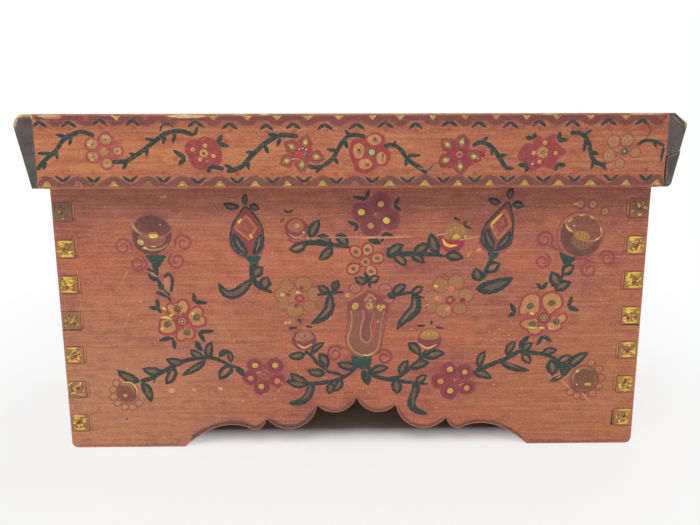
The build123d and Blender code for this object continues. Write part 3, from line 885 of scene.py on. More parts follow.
yellow_flower(
    (106.1, 74.5),
    [
        [
            (92.3, 78.7), (93.1, 83.1), (94.8, 86.2), (98.4, 88.1), (102.4, 86.8), (103.2, 83.1),
            (103.2, 78.6), (100.8, 76.9), (97.7, 77.4), (95.2, 76.5), (92.8, 76.7),
        ],
        [
            (104.4, 84.9), (105.8, 87.4), (109.4, 88.7), (113.8, 87.4), (115.5, 84.2), (115.4, 81),
            (113, 79.7), (110.6, 77.2), (108.5, 76.3), (107.4, 78.6), (105.9, 79.9), (104.7, 82.4),
        ],
        [
            (107.9, 71.3), (110.3, 71.9), (112, 74.2), (114.5, 75.4), (116.9, 76.7), (118.5, 75.1),
            (118, 72.9), (115.8, 71.6), (115.8, 68.7), (113.7, 67.5), (110.6, 67), (108.1, 69),
        ],
        [
            (93.3, 71.7), (95.4, 73.3), (98.4, 73.9), (101.5, 74.5), (102.6, 72.3), (102.5, 69.8),
            (105.2, 68.5), (104.7, 66.4), (102, 64.9), (98.8, 65.6), (97.2, 67.9), (95, 68.9),
            (93.5, 70.3),
        ],
    ],
    [(98.2, 81.2), (109.8, 82.7), (113.1, 72.2), (99.8, 70.7)],
    [
        [(97.1, 69.2), (99.9, 68.8), (102.4, 68.8)], [(103.7, 68.8), (106.8, 68.5)],
        [(108.9, 68.8), (110.5, 67.8)], [(97.7, 77.1), (100.8, 76.6)], [(112, 80.2), (114.2, 80.8)],
    ],
    [
        [(86.8, 83.2), (90, 77.5), (85.8, 75.2)], [(101, 94.2), (104, 90.6), (107, 94.8)],
        [(121, 87), (119.3, 80.5), (125.4, 78.4)], [(102.8, 58.6), (106, 64.2), (111.4, 60.6)],
    ],
)
lay_on_wall("right_yellow_flower_paint")

# Two closed tulip buds, each a dark teardrop round a crimson heart with nested ochre diamonds,
# on a stalk that curls into the long leaf below it.


def tulip_bud(outline, diamond, inner, strokes, stain, lower_leaves, top_leaves):
    """A bud: its teardrop and diamonds as outlines, its strokes, stain and leaves as points."""
    brush(stain, 2.2, "#A24652", 0, "line", 0.9, 0.8)
    shape(outline, "#9C4644", 1, 0.8)
    shape(diamond, "#B4664E", 2, 0.5, 0.95, sharp=True)
    brush(outline, 1.5, vine, 3, "even", 0.3, loop=True)
    brush(diamond, 1.2, "#CB8856", 3, "even", 0.35, 0.9, loop=True, sharp=True)
    brush(inner, 1.1, "#A23E48", 4, "even", 0.25, 0.9, loop=True, sharp=True)
    for points in strokes:
        brush(points, 1.5, yellow, 5, "line", 0.2)
    for corners, vein in lower_leaves:
        shape(corners, vine, 4, 0.5)
        lick(vein, 1.5, "#6A7264", 5, 0.5, 0.75)
    for base, tip, width in top_leaves:
        leaf(base, tip, width, "#6E5A4A")


tulip_bud(
    [
        (-57, 136.2), (-60.6, 132.4), (-63.8, 128), (-65.2, 123.7), (-65.7, 119.5), (-64.9, 115),
        (-62.2, 111.7), (-58.7, 110), (-54.6, 109.7), (-51.2, 111.2), (-48.7, 115.2), (-48.1, 119.6),
        (-48.8, 125.4), (-51.6, 130.8),
    ],
    [(-56.8, 131.6), (-63.4, 125.2), (-55.7, 118.6), (-51.6, 125.4)],
    [(-57.2, 128.6), (-59.8, 125.2), (-56, 121.9), (-54.2, 125.4)],
    [[(-61.6, 127.6), (-59.4, 130.2)], [(-55.4, 121.6), (-53.8, 119.6)]],
    [(-66, 119), (-64.6, 112.8), (-59.6, 109.2), (-54.2, 108.7), (-49.6, 110.8), (-47.4, 116)],
    [
        (
            [
                (-56.7, 110.2), (-61.4, 111.6), (-64.4, 115), (-65.2, 119.4), (-64, 123),
                (-60.2, 119.6), (-57.6, 116), (-56.4, 112.6),
            ],
            [(-58.2, 112.4), (-60.8, 115), (-63, 119.4)],
        ),
        (
            [
                (-54, 110.2), (-50.8, 112), (-48.8, 116), (-48.6, 122), (-50.6, 121.6), (-52.8, 118.4),
                (-54, 114.4),
            ],
            [(-52.2, 113), (-50.6, 116.4), (-50, 120.4)],
        ),
    ],
    [
        ((-60.2, 136.4), (-69.2, 138.2), 3), ((-55.4, 136.8), (-49.6, 134.8), 2.8),
        ((-57.2, 137.4), (-56.7, 143.6), 2.4),
    ],
)
shape([(-59, 110), (-54, 110.4), (-49.2, 109.8), (-51, 106.6), (-51.6, 103.6), (-55.6, 103.6),
       (-56.2, 106)], deep_green, 5, 0.3)
stem([(-54.2, 105.5), (-54.4, 98), (-51, 93), (-43.8, 89.6)], 2.5)
leaves((-54, 97.6, -48.4, 104.2, 4.4, "#8A5F48"), (-48.2, 91, -46.2, 98.8, 5.4))
lick([(-54.4, 97.8), (-58.6, 93.2), (-63, 89.8), (-67.4, 88.6), (-70.8, 90.6), (-73.4, 95.6)],
     6.2, vine, 3, 0.35)
lick([(-56.4, 95.4), (-60.4, 91.6), (-65, 89), (-69, 89.4), (-71.6, 92)], 2.9, "#6B5E4C", 5, 0.5, 0.95)
dab(-62.5, 84, 24, 8, "#98525A", 0, 2.5, 0.5)
lay_on_wall("left_tulip_paint")

tulip_bud(
    [
        (83.6, 138.2), (79.4, 134.8), (74, 129.1), (71.2, 125.2), (69.9, 120.6), (70, 117.2),
        (72.3, 113.8), (76.9, 112.2), (82.6, 113.7), (85.8, 117.1), (86.4, 122.3), (86.5, 128.5),
        (85.6, 133),
    ],
    [(82.2, 134.6), (74.3, 126.3), (78.7, 118.3), (85.6, 126)],
    [(81.2, 131.2), (77.2, 126.3), (79.9, 122.3), (83.6, 126.6)],
    [[(80.4, 132.2), (77.4, 129.2), (74.8, 126.2), (76, 124.4)]],
    [(69.2, 122), (69.2, 116.6), (72, 112.6), (77, 111), (83.2, 112.6), (87, 117.4)],
    [
        (
            [
                (76.6, 112.4), (72.4, 114), (70.4, 118), (71, 122.6), (73.2, 125), (75.6, 121.6),
                (77.2, 117.6),
            ],
            [(76, 114.6), (73.6, 118.4), (72.6, 122)],
        ),
        (
            [
                (78, 112.6), (82.4, 113.8), (85.4, 117.2), (86, 121.4), (84.8, 123.2), (81.4, 120.4),
                (79, 117),
            ],
            [(79.8, 114.8), (82.6, 117.4), (84.2, 120.6)],
        ),
    ],
    [
        ((79.8, 138.2), (72.4, 140.4), 2.9), ((85.4, 137), (92.4, 135.8), 3.1),
        ((84, 139.6), (85.8, 146), 3),
    ],
)
brush([(81.3, 129.7), (82.6, 126.3), (79.8, 124.6), (78.8, 126.3), (80.3, 128)],
      0.8, "#8A2E38", 5, "even", 0.2)
shape([(73, 112.8), (76.4, 111.6), (79.8, 111), (78.8, 108.4), (76.4, 106.8), (74.8, 105.4),
       (73.8, 108.6)], deep_green, 5, 0.3)
stem([(76, 107.4), (73, 101.2), (71.2, 95.8)], 2.3)
leaves((73, 99.8, 80.8, 105.4, 4.6, rust), (70.2, 95.2, 67.2, 103.2, 4.4))
leaf((67.2, 90.8), (88.4, 97.4), 5.4, "#6B5E4C", bow=-0.07)
lay_on_wall("right_tulip_paint")

# The sprigs between the buds: a small round bud at each outer end and a leafy stalk between it
# and the flowers in the middle.

dab(-30, 124.5, 14.5, 13.5, "#934A4C", 1, 1)
dab(-30.6, 126, 10.4, 8.6, "#B56F56", 2, 1.2, 0.95)
lick([(-34.4, 121.6), (-30, 119.6), (-25.4, 121.8)], 1.5, "#D09052", 4, 0.3)
dab(-30, 126.2, 4.4, 4.2, "#C88A5C", 3, 0.8)
brush([(-29.8, 125.2), (-29.5, 127.4)], 1.1, "#F0D070", 5)
dots([(-26.4, 122.6)], 1.6, "#F0C860")
brush([(-35.5, 118.9), (-30, 117.2), (-25, 118.9)], 1.5, "#B03E52", cover=0.95)
tick([(-37, 134.6), (-34.4, 133.2), (-31.4, 134.6)], 0.9)
lick([(-38.9, 127.9), (-36.4, 130.6)], 2.2, "#6A5240", 3, 0.3, 0.9)
stem([(-34, 113), (-28, 115.6), (-23, 117), (-12, 116), (-1, 114.3)], 2.3)
leaves(
    (-22.7, 118.6, -17.4, 129.6, 4.2), (-25, 117, -34.8, 113, 4.2, rust), (-20, 119.8, -11, 116.8, 3.8),
    (-11, 115.2, -18.7, 107.6), (-9.4, 121.2, -2.4, 114.8, 4.2), (8, 118.5, 15.4, 116, 2.6, None),
)
dots([(-46, 118), (-42, 117.5), (-35.5, 114.5), (-38, 115), (-27, 135)], 1.7, "#D0834A", 4, 0.75)
dots([(-101.5, 142), (-99, 141.8)], 1.8, "#C9805C", 4, 0.6)
lay_on_wall("left_sprig_paint")

dab(54, 118.6, 18, 16, "#B0545A", 0, 2.2, 0.6)
shape([(46, 120.6), (46.6, 115.8), (50, 112), (54.4, 110.9), (59, 112.6), (61.2, 117), (61.4, 120.6),
       (54, 122)], "#A8384C", 1, 0.6)
shape([(48.8, 119.6), (50, 124), (54.4, 127.4), (59.6, 126), (62, 121.4), (57.6, 118), (52.6, 117.6)],
      "#BC8A50", 2, 0.6)
lick([(48.6, 119), (50.4, 115.8), (53.4, 114.8), (57, 115.4)], 2.1, yellow, 4)
dab(56, 120, 5, 3.2, "#EEC458", 4, 0.5)
dab(61, 119.6, 1.8, 2.8, "#DDBC58", 4, 0.4)
dots([(59.6, 123), (52.6, 123.4), (55.6, 124.8)], 1.6, "#DDBE62", 4, 0.85)
brush([(51.2, 117.4), (53.6, 119.2), (55.3, 123.4)], 1, "#8A3A40", 3, "line", 0.2, 0.8)
brush([(45.4, 120.8), (51.4, 121.6)], 1.1, "#E8AE8A", 4, cover=0.9)
for points in ([(54.4, 130.2), (58, 128.5)], [(59.6, 126.4), (61.6, 128.6)], [(60, 126), (64.6, 124)]):
    tick(points, 0.9)
stem([(19, 109.3), (25, 110.4), (35, 110.6), (45, 110), (50.4, 109)], 2.4)
leaves(
    (18.4, 108.8, 28, 115.8, 4.2), (21.6, 110.2, 29.4, 103.6, 3.8, rust), (33, 109.8, 42.4, 115.8, 4.4),
    (31, 110.2, 39.4, 105.2, 3.4), (50, 109.4, 60.6, 107.8, 4.2), (47, 110.6, 42.2, 122.4, 4.4),
)
dots([(63, 110), (69, 112.4), (67.6, 111.8)], 2, "#D98E5C", 4, 0.9)
lay_on_wall("right_sprig_paint")

# The crimson flower at the top and the flower of five rings below it. The first is soft lobes of
# crimson with yellow seeds, the second ochre dabs ringed in red on short spokes.


def crimson_flower(lobes, size, seeds, colour):
    """Soft crimson lobes with seeds given as (x, z, size, colour)."""
    xs = sum(x for x, z in lobes) / len(lobes)
    zs = sum(z for x, z in lobes) / len(lobes)
    dab(xs, zs, size * 1.9, size * 1.7, colour, 0, 2.4, 0.85)
    for x, z in lobes:
        dab(x, z, size * 1.16, size * 1.14, colour, 1, 2.2)
        dab(x, z, size * 0.74, size * 0.7, "#843E48", 2, 1.4)
    for x, z, wide, hue in seeds:
        dab(x, z, wide + 2.2, wide + 2.1, "#804A40", 3, 0.5)
        dab(x, z, wide + 1.5, wide + 1.3, hue, 4, 0.4)
        dab(x - 0.3, z + 0.3, wide * 0.4, wide * 0.36, "#F8EBA8", 5, 0.3, 0.8)


crimson_flower(
    [(5, 133.3), (15, 138.2), (20, 129.5), (10, 125.5)],
    12.5,
    [
        (4.7, 133.3, 2.8, yellow), (18.2, 128.8, 2.8, yellow), (15.2, 137.6, 2.6, "#E0A860"),
        (9.8, 126, 2.6, ochre), (12.8, 132, 2.2, "#A8655C"),
    ],
    "#8C4650",
)
for points in (
    [(0, 141.6), (7, 140), (9, 145.2)], [(25, 141.2), (22.4, 136.5), (26, 134)],
    [(-3, 128.6), (3, 126), (1, 123)], [(15.5, 117), (17, 122), (22, 120.4)],
):
    tick(points)
brush([(26.5, 138.6), (29.6, 138.2)], 0.7, "#7A4A48", 2, cover=0.6)
lay_on_wall("top_crimson_flower_paint")

middle = (7, 106.3)
dab(7, 107, 22, 20, "#A9555A", 0, 3, 0.6)
for x, z in ((1.8, 112), (8, 113), (13.4, 108.4), (10, 101.2), (0.4, 102.6)):
    out = Vector((x, z)) - Vector(middle)
    lean = math.degrees(math.atan2(out.y, out.x))
    brush([middle, (x, z)], 3.6, "#A8444A", 1, "even", 0.4, 0.9)
    dab(x, z, 9, 7.8, "#A8444A", 1, 0.5, 1, lean)
    dab(x, z, 7, 5.8, "#D0925F", 3, 0.6, 1, lean)
    brush([Vector(middle) + out * 0.55, (x, z)], 2.2, "#D0925F", 2, "line", 0.4, 0.9)
    dab(x, z, 3.7, 3.3, "#6A604E", 4, 0.6)
    dab(x + 0.4, z + 0.4, 1.4, 1.2, "#93886A", 5, 0.4, 0.7)
dab(*middle, 5.4, 5.4, "#C08A52", 4, 0.4)
dab(*middle, 2.8, 2.8, "#6E5A48", 5, 0.4)
stem([(6.5, 100.6), (8.6, 96), (9.5, 91.4)], 1.6)
leaves((8.4, 95.2, 0.8, 98, 3.6), (9.3, 94.6, 14.8, 98.2, 3.6, rust))
lay_on_wall("ring_flower_paint")

# Two faded ochre flowers beside the vase, and the curved leaves that hang from them. Their thin
# coat has nearly worn away, so that the ground shows through and the red spots stand out.


def faded_flower(middle, petals, spots, glints):
    """Ochre petals nearly worn away, with red or salmon spots."""
    dab(middle[0], middle[1] + 1, 27, 22, "#B0785A", 0, 4, 0.7)
    dab(middle[0], middle[1] + 0.6, 19, 15, "#B48058", 1, 2, 0.9)
    for x, z, wide in petals:
        dab(x, z, wide + 1.8, wide + 1.2, "#93573F", 1, 0.5, 0.75)
        dab(x, z, wide + 0.4, wide * 0.96, "#B98658", 2, 0.8, 0.85)
    for x, z, wide in petals:
        toward = Vector((x - middle[0], z - middle[1])).normalized()
        aside = Vector((-toward.y, toward.x))
        for turn in (-0.3, 0, 0.3):
            start = Vector((x, z)) + toward * wide * 0.4 + aside * turn * wide
            end = Vector((x, z)) - toward * wide * 0.35 + aside * turn * wide * 0.4
            brush([start, end], 0.7, "#8E5E40", 3, "tail", 0.2, 0.6)
    dab(*middle, 6.4, 6, "#A8404C", 3, 0.5, 0.95)
    dab(*middle, 3, 2.8, "#BC8658", 4, 0.4, 0.95)
    for x, z, size, hue in spots:
        dab(x, z, size * 1.35, size * 1.2, hue, 5, 0.4)
    for x, z in glints:
        dab(x, z, 3.2, 2.2, "#EECB5C", 5, 0.4, 0.95)


faded_flower(
    (-29, 86.3),
    [
        (-38.6, 88.4, 8.6), (-36, 93.5, 7.6), (-27, 94.4, 9), (-21, 88.5, 8.6), (-23.6, 82, 7.6),
        (-32, 79.6, 9), (-38, 83, 6.6),
    ],
    [
        (-35.5, 88.4, 2.3, crimson), (-28, 92.2, 2.3, crimson), (-24, 83.9, 2, "#D25A54"),
        (-31, 82.2, 2.4, crimson),
    ],
    [(-38.4, 88.4), (-30, 89.6)],
)
lay_on_wall("left_faded_flower_paint")

faded_flower(
    (53.5, 84.8),
    [
        (48.3, 93.3, 9), (56.6, 94.8, 9), (43.2, 86.4, 8.6), (62.4, 87.6, 8.6), (50.4, 79, 9),
        (59, 80, 7.4), (43.6, 80.4, 6),
    ],
    [
        (54, 91.2, 3.3, "#E87C64"), (46.8, 85.8, 3, "#F08A6C"), (52.5, 79.7, 2.8, "#E88E6C"),
        (60.5, 84.8, 3, "#A83C46"), (41.3, 82.3, 1, "#F0E2D0"),
    ],
    [(45.6, 92.6)],
)
lay_on_wall("right_faded_flower_paint")

stem([(-19.6, 88.2), (-12, 89.6), (-4.6, 89.3)], 1.7)
leaves((-12.4, 90.2, -19.4, 93.4, 3.4), (-10.4, 89.8, -7.4, 96.6, 3.6, "#4A4E42"))
lick([(-12, 89.8), (-12.6, 85), (-12.8, 81), (-15, 77.4), (-19, 74), (-23.6, 71.8)], 6.2, vine, 3, 0.35)
lick([(-12.6, 86.4), (-12.9, 81), (-15.6, 77.4), (-19, 74.6)], 2, olive, 5, 0.3, 0.85)
lick([(32.4, 90.6), (34.6, 86), (34.4, 80.4), (31.4, 76.6), (27.6, 73.2), (24.4, 68)], 7, vine, 3, 0.35)
lick([(34, 86.4), (33.6, 80.4), (30, 76.2), (26.8, 72)], 2.2, olive, 5, 0.3, 0.85)
stem([(21.4, 87.6), (27, 88.6), (34, 89.4)], 1.7)
leaves((21.8, 87.4, 29.8, 93.8), (32.6, 87.6, 39, 92.4, 3.6, rust))
stem([(34, 87.6), (39.4, 86)], 1.3)
leaf((18.6, 88.6), (23.6, 85.6), 2.6, None)
lay_on_wall("hanging_leaves_paint")

# The vase in the middle: nested U shapes in ochre and plum, standing on a dark foot between two
# curls, with the vine that runs along the bottom springing from the foot.

vase_line = [
    (-1.2, 79.4), (-0.5, 75.3), (-1.2, 69.1), (-2.6, 64.3), (-2.2, 59.9), (0.4, 56), (3.6, 54.1),
    (7.2, 53.5), (11.4, 55), (13.9, 57.9), (15, 64.2), (15.5, 69), (16.3, 73.8), (17.3, 79),
]
throat_line = [
    (5.6, 79.6), (6.1, 75.3), (5, 71.9), (4.3, 68.1), (4.3, 64.2), (5.3, 62.3), (7.6, 60.8), (9.5, 62),
    (10.3, 65.1), (9.8, 69), (10.4, 72.8), (11.6, 77.4),
]
shape([(-3.4, 84), (-2.8, 77.7), (-3.2, 71), (-4.2, 64.3), (-3.8, 59.2), (-1.4, 54.8), (2.9, 52.6),
       (7.6, 52.1), (12.9, 54), (15.6, 57.3), (16.7, 64), (18, 70.9), (19.4, 77.6), (20.2, 84),
       (15.6, 88.6), (9.6, 91.4), (3.4, 88.6)], "#924C50", 0, 1.6, 0.95)
brush([(-3, 84), (-2.6, 77.7), (-3.1, 71), (-4, 64.3), (-3.6, 59.4), (-1.3, 55), (2.9, 52.8),
       (7.6, 52.3), (12.8, 54.2), (15.4, 57.4), (16.5, 64.1), (17.8, 70.9), (19.2, 77.6), (20, 83.4)],
      1.3, "#A2424C", 1, "even", 0.5, 0.85)
shape(vase_line, "#91634F", 1, 0.8, 0.95)
brush([(3.8, 79.4), (4.2, 75), (3.3, 71.5), (2.5, 68), (2.6, 63.8), (3.8, 60.6), (7.4, 59),
       (10.8, 60.2), (12, 65), (11.6, 69), (12.4, 73), (13.4, 77.4)],
      1.7, "#97484C", 2, "even", 0.6, 0.8)
shape(throat_line, "#8C5652", 2, 0.6, 0.95)
lick([(14.6, 76.4), (14.1, 70), (13.6, 63.4)], 2, "#705C48", 3, 0.8, 0.75)
brush(vase_line, 1.2, "#BF9868", 4, "line", 0.4, 0.9)
brush(throat_line, 1.15, "#BE9468", 4, "line", 0.4, 0.9)
brush([(8.2, 78.4), (7.8, 73.8), (6.7, 69), (6.2, 65)], 1.7, "#803E46", 3, "line", 0.6, 0.85)
brush([(13, 74.4), (12, 69), (11.8, 64.2), (11.4, 60)], 1.1, "#DC4E4C", 5, "line", 0.3)
brush([(4.1, 60.4), (7.2, 59.1), (10, 59.8)], 0.9, "#B8484C", 5, "line", 0.3, 0.8)
lick([(5.4, 53.9), (8.4, 53.4), (11.6, 54.8)], 1.3, "#EBCB62")
dab(14.1, 72.9, 2, 1.3, "#CFC4A4", 5, 0.4, 0.95, 30)
dab(9.3, 81.9, 8, 6.4, "#805648", 3, 1.4, 0.8)
dab(15.6, 80.6, 6.6, 6, "#6E5244", 3, 1.4, 0.8)
dab(1.3, 81.7, 4.2, 5, "#D8A856", 5, 0.6, 0.95, -35)
dab(9.2, 81.7, 5, 4.6, "#D2A252", 5, 0.6)
dots([(8.6, 82.2)], 2, "#A06C3E", 6, 0.8)
dots([(14.3, 81.2), (16.6, 81.3)], 2.7, "#DDB458")
dab(15.4, 79.8, 2.8, 3.2, "#DDB458", 5, 0.5)
dots([(15.4, 80.6)], 1.3, "#7A4A34", 6)
brush([(6.5, 84.4), (9.4, 88.4), (12.9, 85.2)], 1.9, "#BB9264", 4, "even", 0.6, 0.85, sharp=True)
dab(9.7, 85, 2.4, 2.2, "#D0A468", 5, 0.5)
for x, z, wide, high in ((1.4, 91.6, 2.4, 1.9), (17.7, 90.8, 2.5, 2.4), (19.7, 85.6, 1.6, 1.6)):
    ring(x, z, wide + 1.1, 1, rose, 3, 0.85, high=high + 1.1)
    ring(x, z, wide, 0.9, "#BE8460", 4, 0.85, high=high)
dots([(17.7, 90.8)], 1.3, "#7A4A3C", 5, 0.9)
dab(-2.9, 87.7, 3.2, 2.8, "#EDC458", 5, 0.5)
dots([(-2.9, 87.7)], 1.1, "#94603C", 6)
curl(-10, 54.5, 4.8, 1, dusky_rose, 1.9, begin=30)
brush([(-13.5, 59), (-8, 59.4), (-3, 56.5)], 1.3, dusky_rose, 2, cover=0.8)
curl(17.6, 52.4, 4.8, -1, dusky_rose, 1.9, begin=150)
shape([(-0.9, 53.6), (4.6, 52.8), (10.2, 53.6), (10.5, 49.4), (8.4, 45.8), (3.8, 45.4), (0, 48.6)],
      deep_green, 4, 0.3)
lay_on_wall("vase_paint")

# The two lower buds, one on each side of the vase. Each is an ochre dome over a purple cup,
# between dark leaves, with short green touches above it.

dab(-27, 62.2, 14.5, 13.6, "#86424C", 1, 1, 0.95)
shape([(-32.4, 62.6), (-31, 66.6), (-27, 68.4), (-23.2, 67), (-21.6, 63.2), (-27, 61.6)],
      "#BC8458", 2, 0.6)
dots([(-26.6, 65.2)], 2.4, "#B8463C", 4)
ring(-26.8, 65, 3.6, 0.9, "#8E5A40", 3, 0.7, high=2)
lick([(-31, 60.4), (-27, 58.2), (-22.4, 60.4)], 1.6, "#E8BC6A", 4, 0.3)
brush([(-29, 61.3), (-25, 61.2)], 0.9, rose, 4, cover=0.8)
for points in (
    [(-30.6, 74.6), (-29, 73)], [(-29.2, 74.6), (-28.8, 71.8)], [(-35.6, 69.4), (-30.4, 69.9)],
    [(-26, 70.5), (-22.4, 70)],
):
    tick(points, 1)
leaves((-26.2, 54.8, -36.4, 53.6, 3.6), (-23.4, 54.4, -15.6, 61.2, 3), (-19.2, 55.2, -14.2, 46, 4.2))
brush([(-27, 56), (-23.4, 54), (-20, 49.4), (-14, 44.6)], 2.4, vine)
lay_on_wall("lower_left_bud_paint")

dab(42.5, 62.4, 15, 14, "#86424C", 1, 1, 0.95)
shape([(36.8, 63.4), (38.6, 67.2), (42.5, 68.6), (46.6, 67.2), (48.4, 63.4), (42.5, 61.8)],
      "#B98A54", 2, 0.6)
for x in (39.4, 42, 44.6, 46.6):
    brush([(x, 66.8), (x + 0.2, 64.4)], 0.9, "#DDBE48", 4, cover=0.9)
dots([(42.5, 64)], 2.2, "#DC7A50")
lick([(36.6, 60.4), (41.4, 57.4), (47.2, 59.8)], 1.6, "#E8BC6A", 4, 0.3)
dots([(46.4, 61)], 1.5, crimson, 4)
for points in ([(36, 70.5), (40.5, 70.3)], [(43.4, 73.2), (43.8, 70.8)], [(46, 69.6), (50.6, 68.8)]):
    tick(points, 1)
leaf((30.6, 60.6), (37.8, 53))
stem([(37, 50.6), (39.4, 53.4), (41, 56.6)], 2.4)
leaf((40, 51.6), (51.8, 54.4), 4.2)
lay_on_wall("lower_right_bud_paint")

# The vine along the bottom, painted in dark green with a loaded brush. Drooping leaves follow the
# scallops, and a crimson flower with bright seeds ends each branch.

stem([(-37, 39), (-25, 37.2), (-12, 38.5), (-5, 41), (0, 44.5), (3, 48)])
stem([(-15, 44.4), (-9, 43), (-4, 41.3)], 1.6)
leaves(
    (-25.2, 37.4, -35.4, 43.8, 3.8), (-25, 37.2, -37.8, 38.8, 3.4), (-15.2, 43.6, -26, 45.2, 3.8),
    (3, 47.4, -9.4, 49.2, 3.8), (-12.6, 38.2, -14, 30.6, 3.8), (-6.2, 40.2, -11.4, 32.2, 3.4),
    (5, 45, 8.6, 35.6, 4, None), (9.6, 43.4, 20.4, 46.2, 3.8),
)
stem([(9, 47), (10.4, 42.8), (15, 40.5), (20, 39.4), (28, 38), (36, 37), (42.5, 36.5)])
stem([(20, 40), (26, 41), (30, 44), (34, 48), (38, 52)], 1.7)
leaves(
    (26.6, 41.2, 31.2, 50.8, 3.8), (31.8, 45.2, 43.4, 49.2), (23, 39.4, 25, 30.2, 4.4),
    (35.8, 36.2, 41.8, 42, 3.6, rust),
)
brush([(35, 38), (35.6, 33), (34, 29), (33, 25), (34.6, 21.8), (38, 19.8), (42.4, 18.6)],
      5, vine, 4, "line", 0.35)
lick([(35.2, 35), (34, 28), (34.2, 22)], 2.4, "#6E6250", 5, 0.5, 0.95)
brush([(-24, 38.4), (-23.8, 34), (-26, 29.2), (-30, 26.4), (-36.4, 25.6)], 5.2, vine, 4, "line", 0.35)
lick([(-24, 36.6), (-25, 31.6), (-29, 27.6)], 2.6, "#6E6250", 5, 0.5, 0.95)
lay_on_wall("bottom_vine_paint")

crimson_flower(
    [(-55, 48), (-43.5, 48), (-57.5, 41), (-42.5, 39.5), (-51.5, 35)],
    10.5,
    [
        (-54.7, 48.1, 2.6, "#DDB854"), (-43.4, 48, 2.6, "#E2B450"), (-57.3, 40.5, 2.6, "#EC8258"),
        (-42.5, 38.8, 2.8, "#E87C58"), (-51.6, 35.7, 2.6, "#D2A854"), (-49.5, 42.5, 1.6, "#9A6A54"),
    ],
    "#9A424C",
)
dab(-52.8, 43.9, 3, 1.7, "#E0A080", 5, 0.5, 0.85, 10)
dots([(-42.6, 47)], 1.4, "#D8583C", 6, 0.9)
ring(-49.4, 42.6, 2.5, 0.8, "#A86E58", 4)
dab(-49.5, 31.2, 4.4, 1.6, "#DE7A5A", 4, 0.4, 1, 12)
lay_on_wall("left_crimson_flower_paint")

crimson_flower(
    [(54, 44.4), (63, 43.4), (48.6, 38), (64.4, 34.4), (54.5, 31.8)],
    11,
    [
        (54.5, 45, 2.6, "#DDB04E"), (63, 43.3, 2.4, "#DDA850"), (55, 32.3, 2.6, "#E4B44C"),
        (64.3, 33.8, 2.6, "#E0A04C"), (49.5, 38, 2.8, "#EE8A54"), (57.5, 38.5, 2.2, "#A8605A"),
    ],
    "#9A424C",
)
brush([(59.4, 35.4), (62.6, 36.6)], 1.1, "#D08A50", 4, cover=0.9)
lay_on_wall("right_crimson_flower_paint")

# The two sprays at the lower corners, each with a long bending stalk, many leaves and a round
# flower at its outer end.

stem([(-119, 39.5), (-113, 41), (-107, 44.5), (-101, 47.5), (-97, 50), (-90, 52), (-82, 53), (-76, 52),
      (-70, 49), (-66, 47.5), (-61, 45)])
leaves(
    (-119.2, 39.2, -131.8, 46.2), (-106.2, 45, -117.8, 46.8, 3.8), (-99.8, 48, -105.2, 37.2, 4.2, rust),
    (-118.6, 39, -113.6, 26.6), (-94, 50.2, -104.4, 52.2, 3.6),
)
lick([(-82, 52.4), (-85, 48.8), (-90, 45.6), (-96, 42.4)], 4.6, vine, 4, 0.3)
lick([(-85, 49), (-92, 44.4)], 1.3, olive, 5, 0.25, 0.85)
leaves(
    (-80.4, 52, -78.2, 62.4, 3.6), (-83.4, 56.6, -87.2, 63, 2.4, None), (-83, 52.8, -90.4, 57.8, 3.6),
    (-74.6, 53.2, -69.2, 57.4, 2.6, None), (-69.4, 57, -68.2, 49.6, 2.8),
)
leaf((-66.4, 48), (-75.2, 39.8), 4.6, rust, bow=-0.08)
leaf((-66, 47.2), (-60.6, 41.6), 2.6, None)
brush([(-109.6, 43), (-112, 38)], 1.2, vine)
lay_on_wall("lower_left_spray_paint")

dab(-127, 33, 18, 18, "#A85C54", 0, 2.2, 0.6)
for n in range(8):
    angle = math.radians(105 + n * 30)
    x, z = -126.6 + 8.4 * math.cos(angle), 32.4 + 8.4 * math.sin(angle)
    dab(x, z, 6.2, 5.8, "#A5504A", 1, 0.7, 0.85)
    dab(x, z, 4.4, 4, "#C49462", 2, 0.6, 0.95)
dab(-126.8, 33, 13.6, 13.6, "#8A5048", 3, 0.9)
lick([(-129.6, 38.2), (-124.8, 38.6), (-121.4, 34.6), (-121.6, 30.6)], 1.5, "#E0BC5C", 5, 0.4, 0.95)
lick([(-130.6, 37.4), (-125, 36.8), (-122.6, 32)], 2.2, "#A8805A", 4, 0.7, 0.9)
dab(-128, 31, 3.2, 3, "#C79A5C", 5, 0.5)
dots([(-128, 31)], 1.2, "#EED27A", 6)
brush([(-131, 29.6), (-127, 27.4), (-123.4, 29.4)], 1, "#6A3A3C", 4, "line", 0.3, 0.8)
lay_on_wall("left_round_flower_paint")

stem([(69, 44), (76, 47), (82, 49.5), (88, 52), (93, 55), (100, 54.5), (107, 53.5), (113, 51),
      (119, 47), (122.6, 45.6)])
leaves((70.6, 45.6, 74.2, 56, 3.4), (67, 43.4, 78.4, 39.2, 3.8))
lick([(82, 51), (85.6, 47.8), (91.4, 45.4), (99.8, 43.8)], 4.4, vine, 4, 0.3)
lick([(84.6, 49), (93, 45.4)], 1.3, olive, 5, 0.25, 0.85)
leaves(
    (86, 52.6, 91.2, 61.6, 3.4), (93, 56.6, 98.8, 64.4, 2.4, None), (94.8, 55.2, 100.8, 60, 3.2),
    (94.2, 53.6, 99.8, 47.6, 3.8, rust), (105.8, 53.4, 114.8, 55.8, 3.4), (110.6, 50.6, 112.6, 40.4, 5),
    (115, 47.6, 123.4, 52.2, 3.8, rust), (121.4, 44.8, 132.2, 54.4, 4.2),
)
shape([(115.6, 48.4), (119.6, 48.6), (125, 47.4), (122.6, 43.4), (119.6, 40.2), (116.6, 42.6)], vine, 3)
lick([(119.6, 42), (116, 39.4), (110.8, 37.4)], 3, vine, 3, 0.25)
lick([(118, 41), (114.6, 39)], 1.3, "#C08A58", 5, 0.3, 0.9)
lay_on_wall("lower_right_spray_paint")

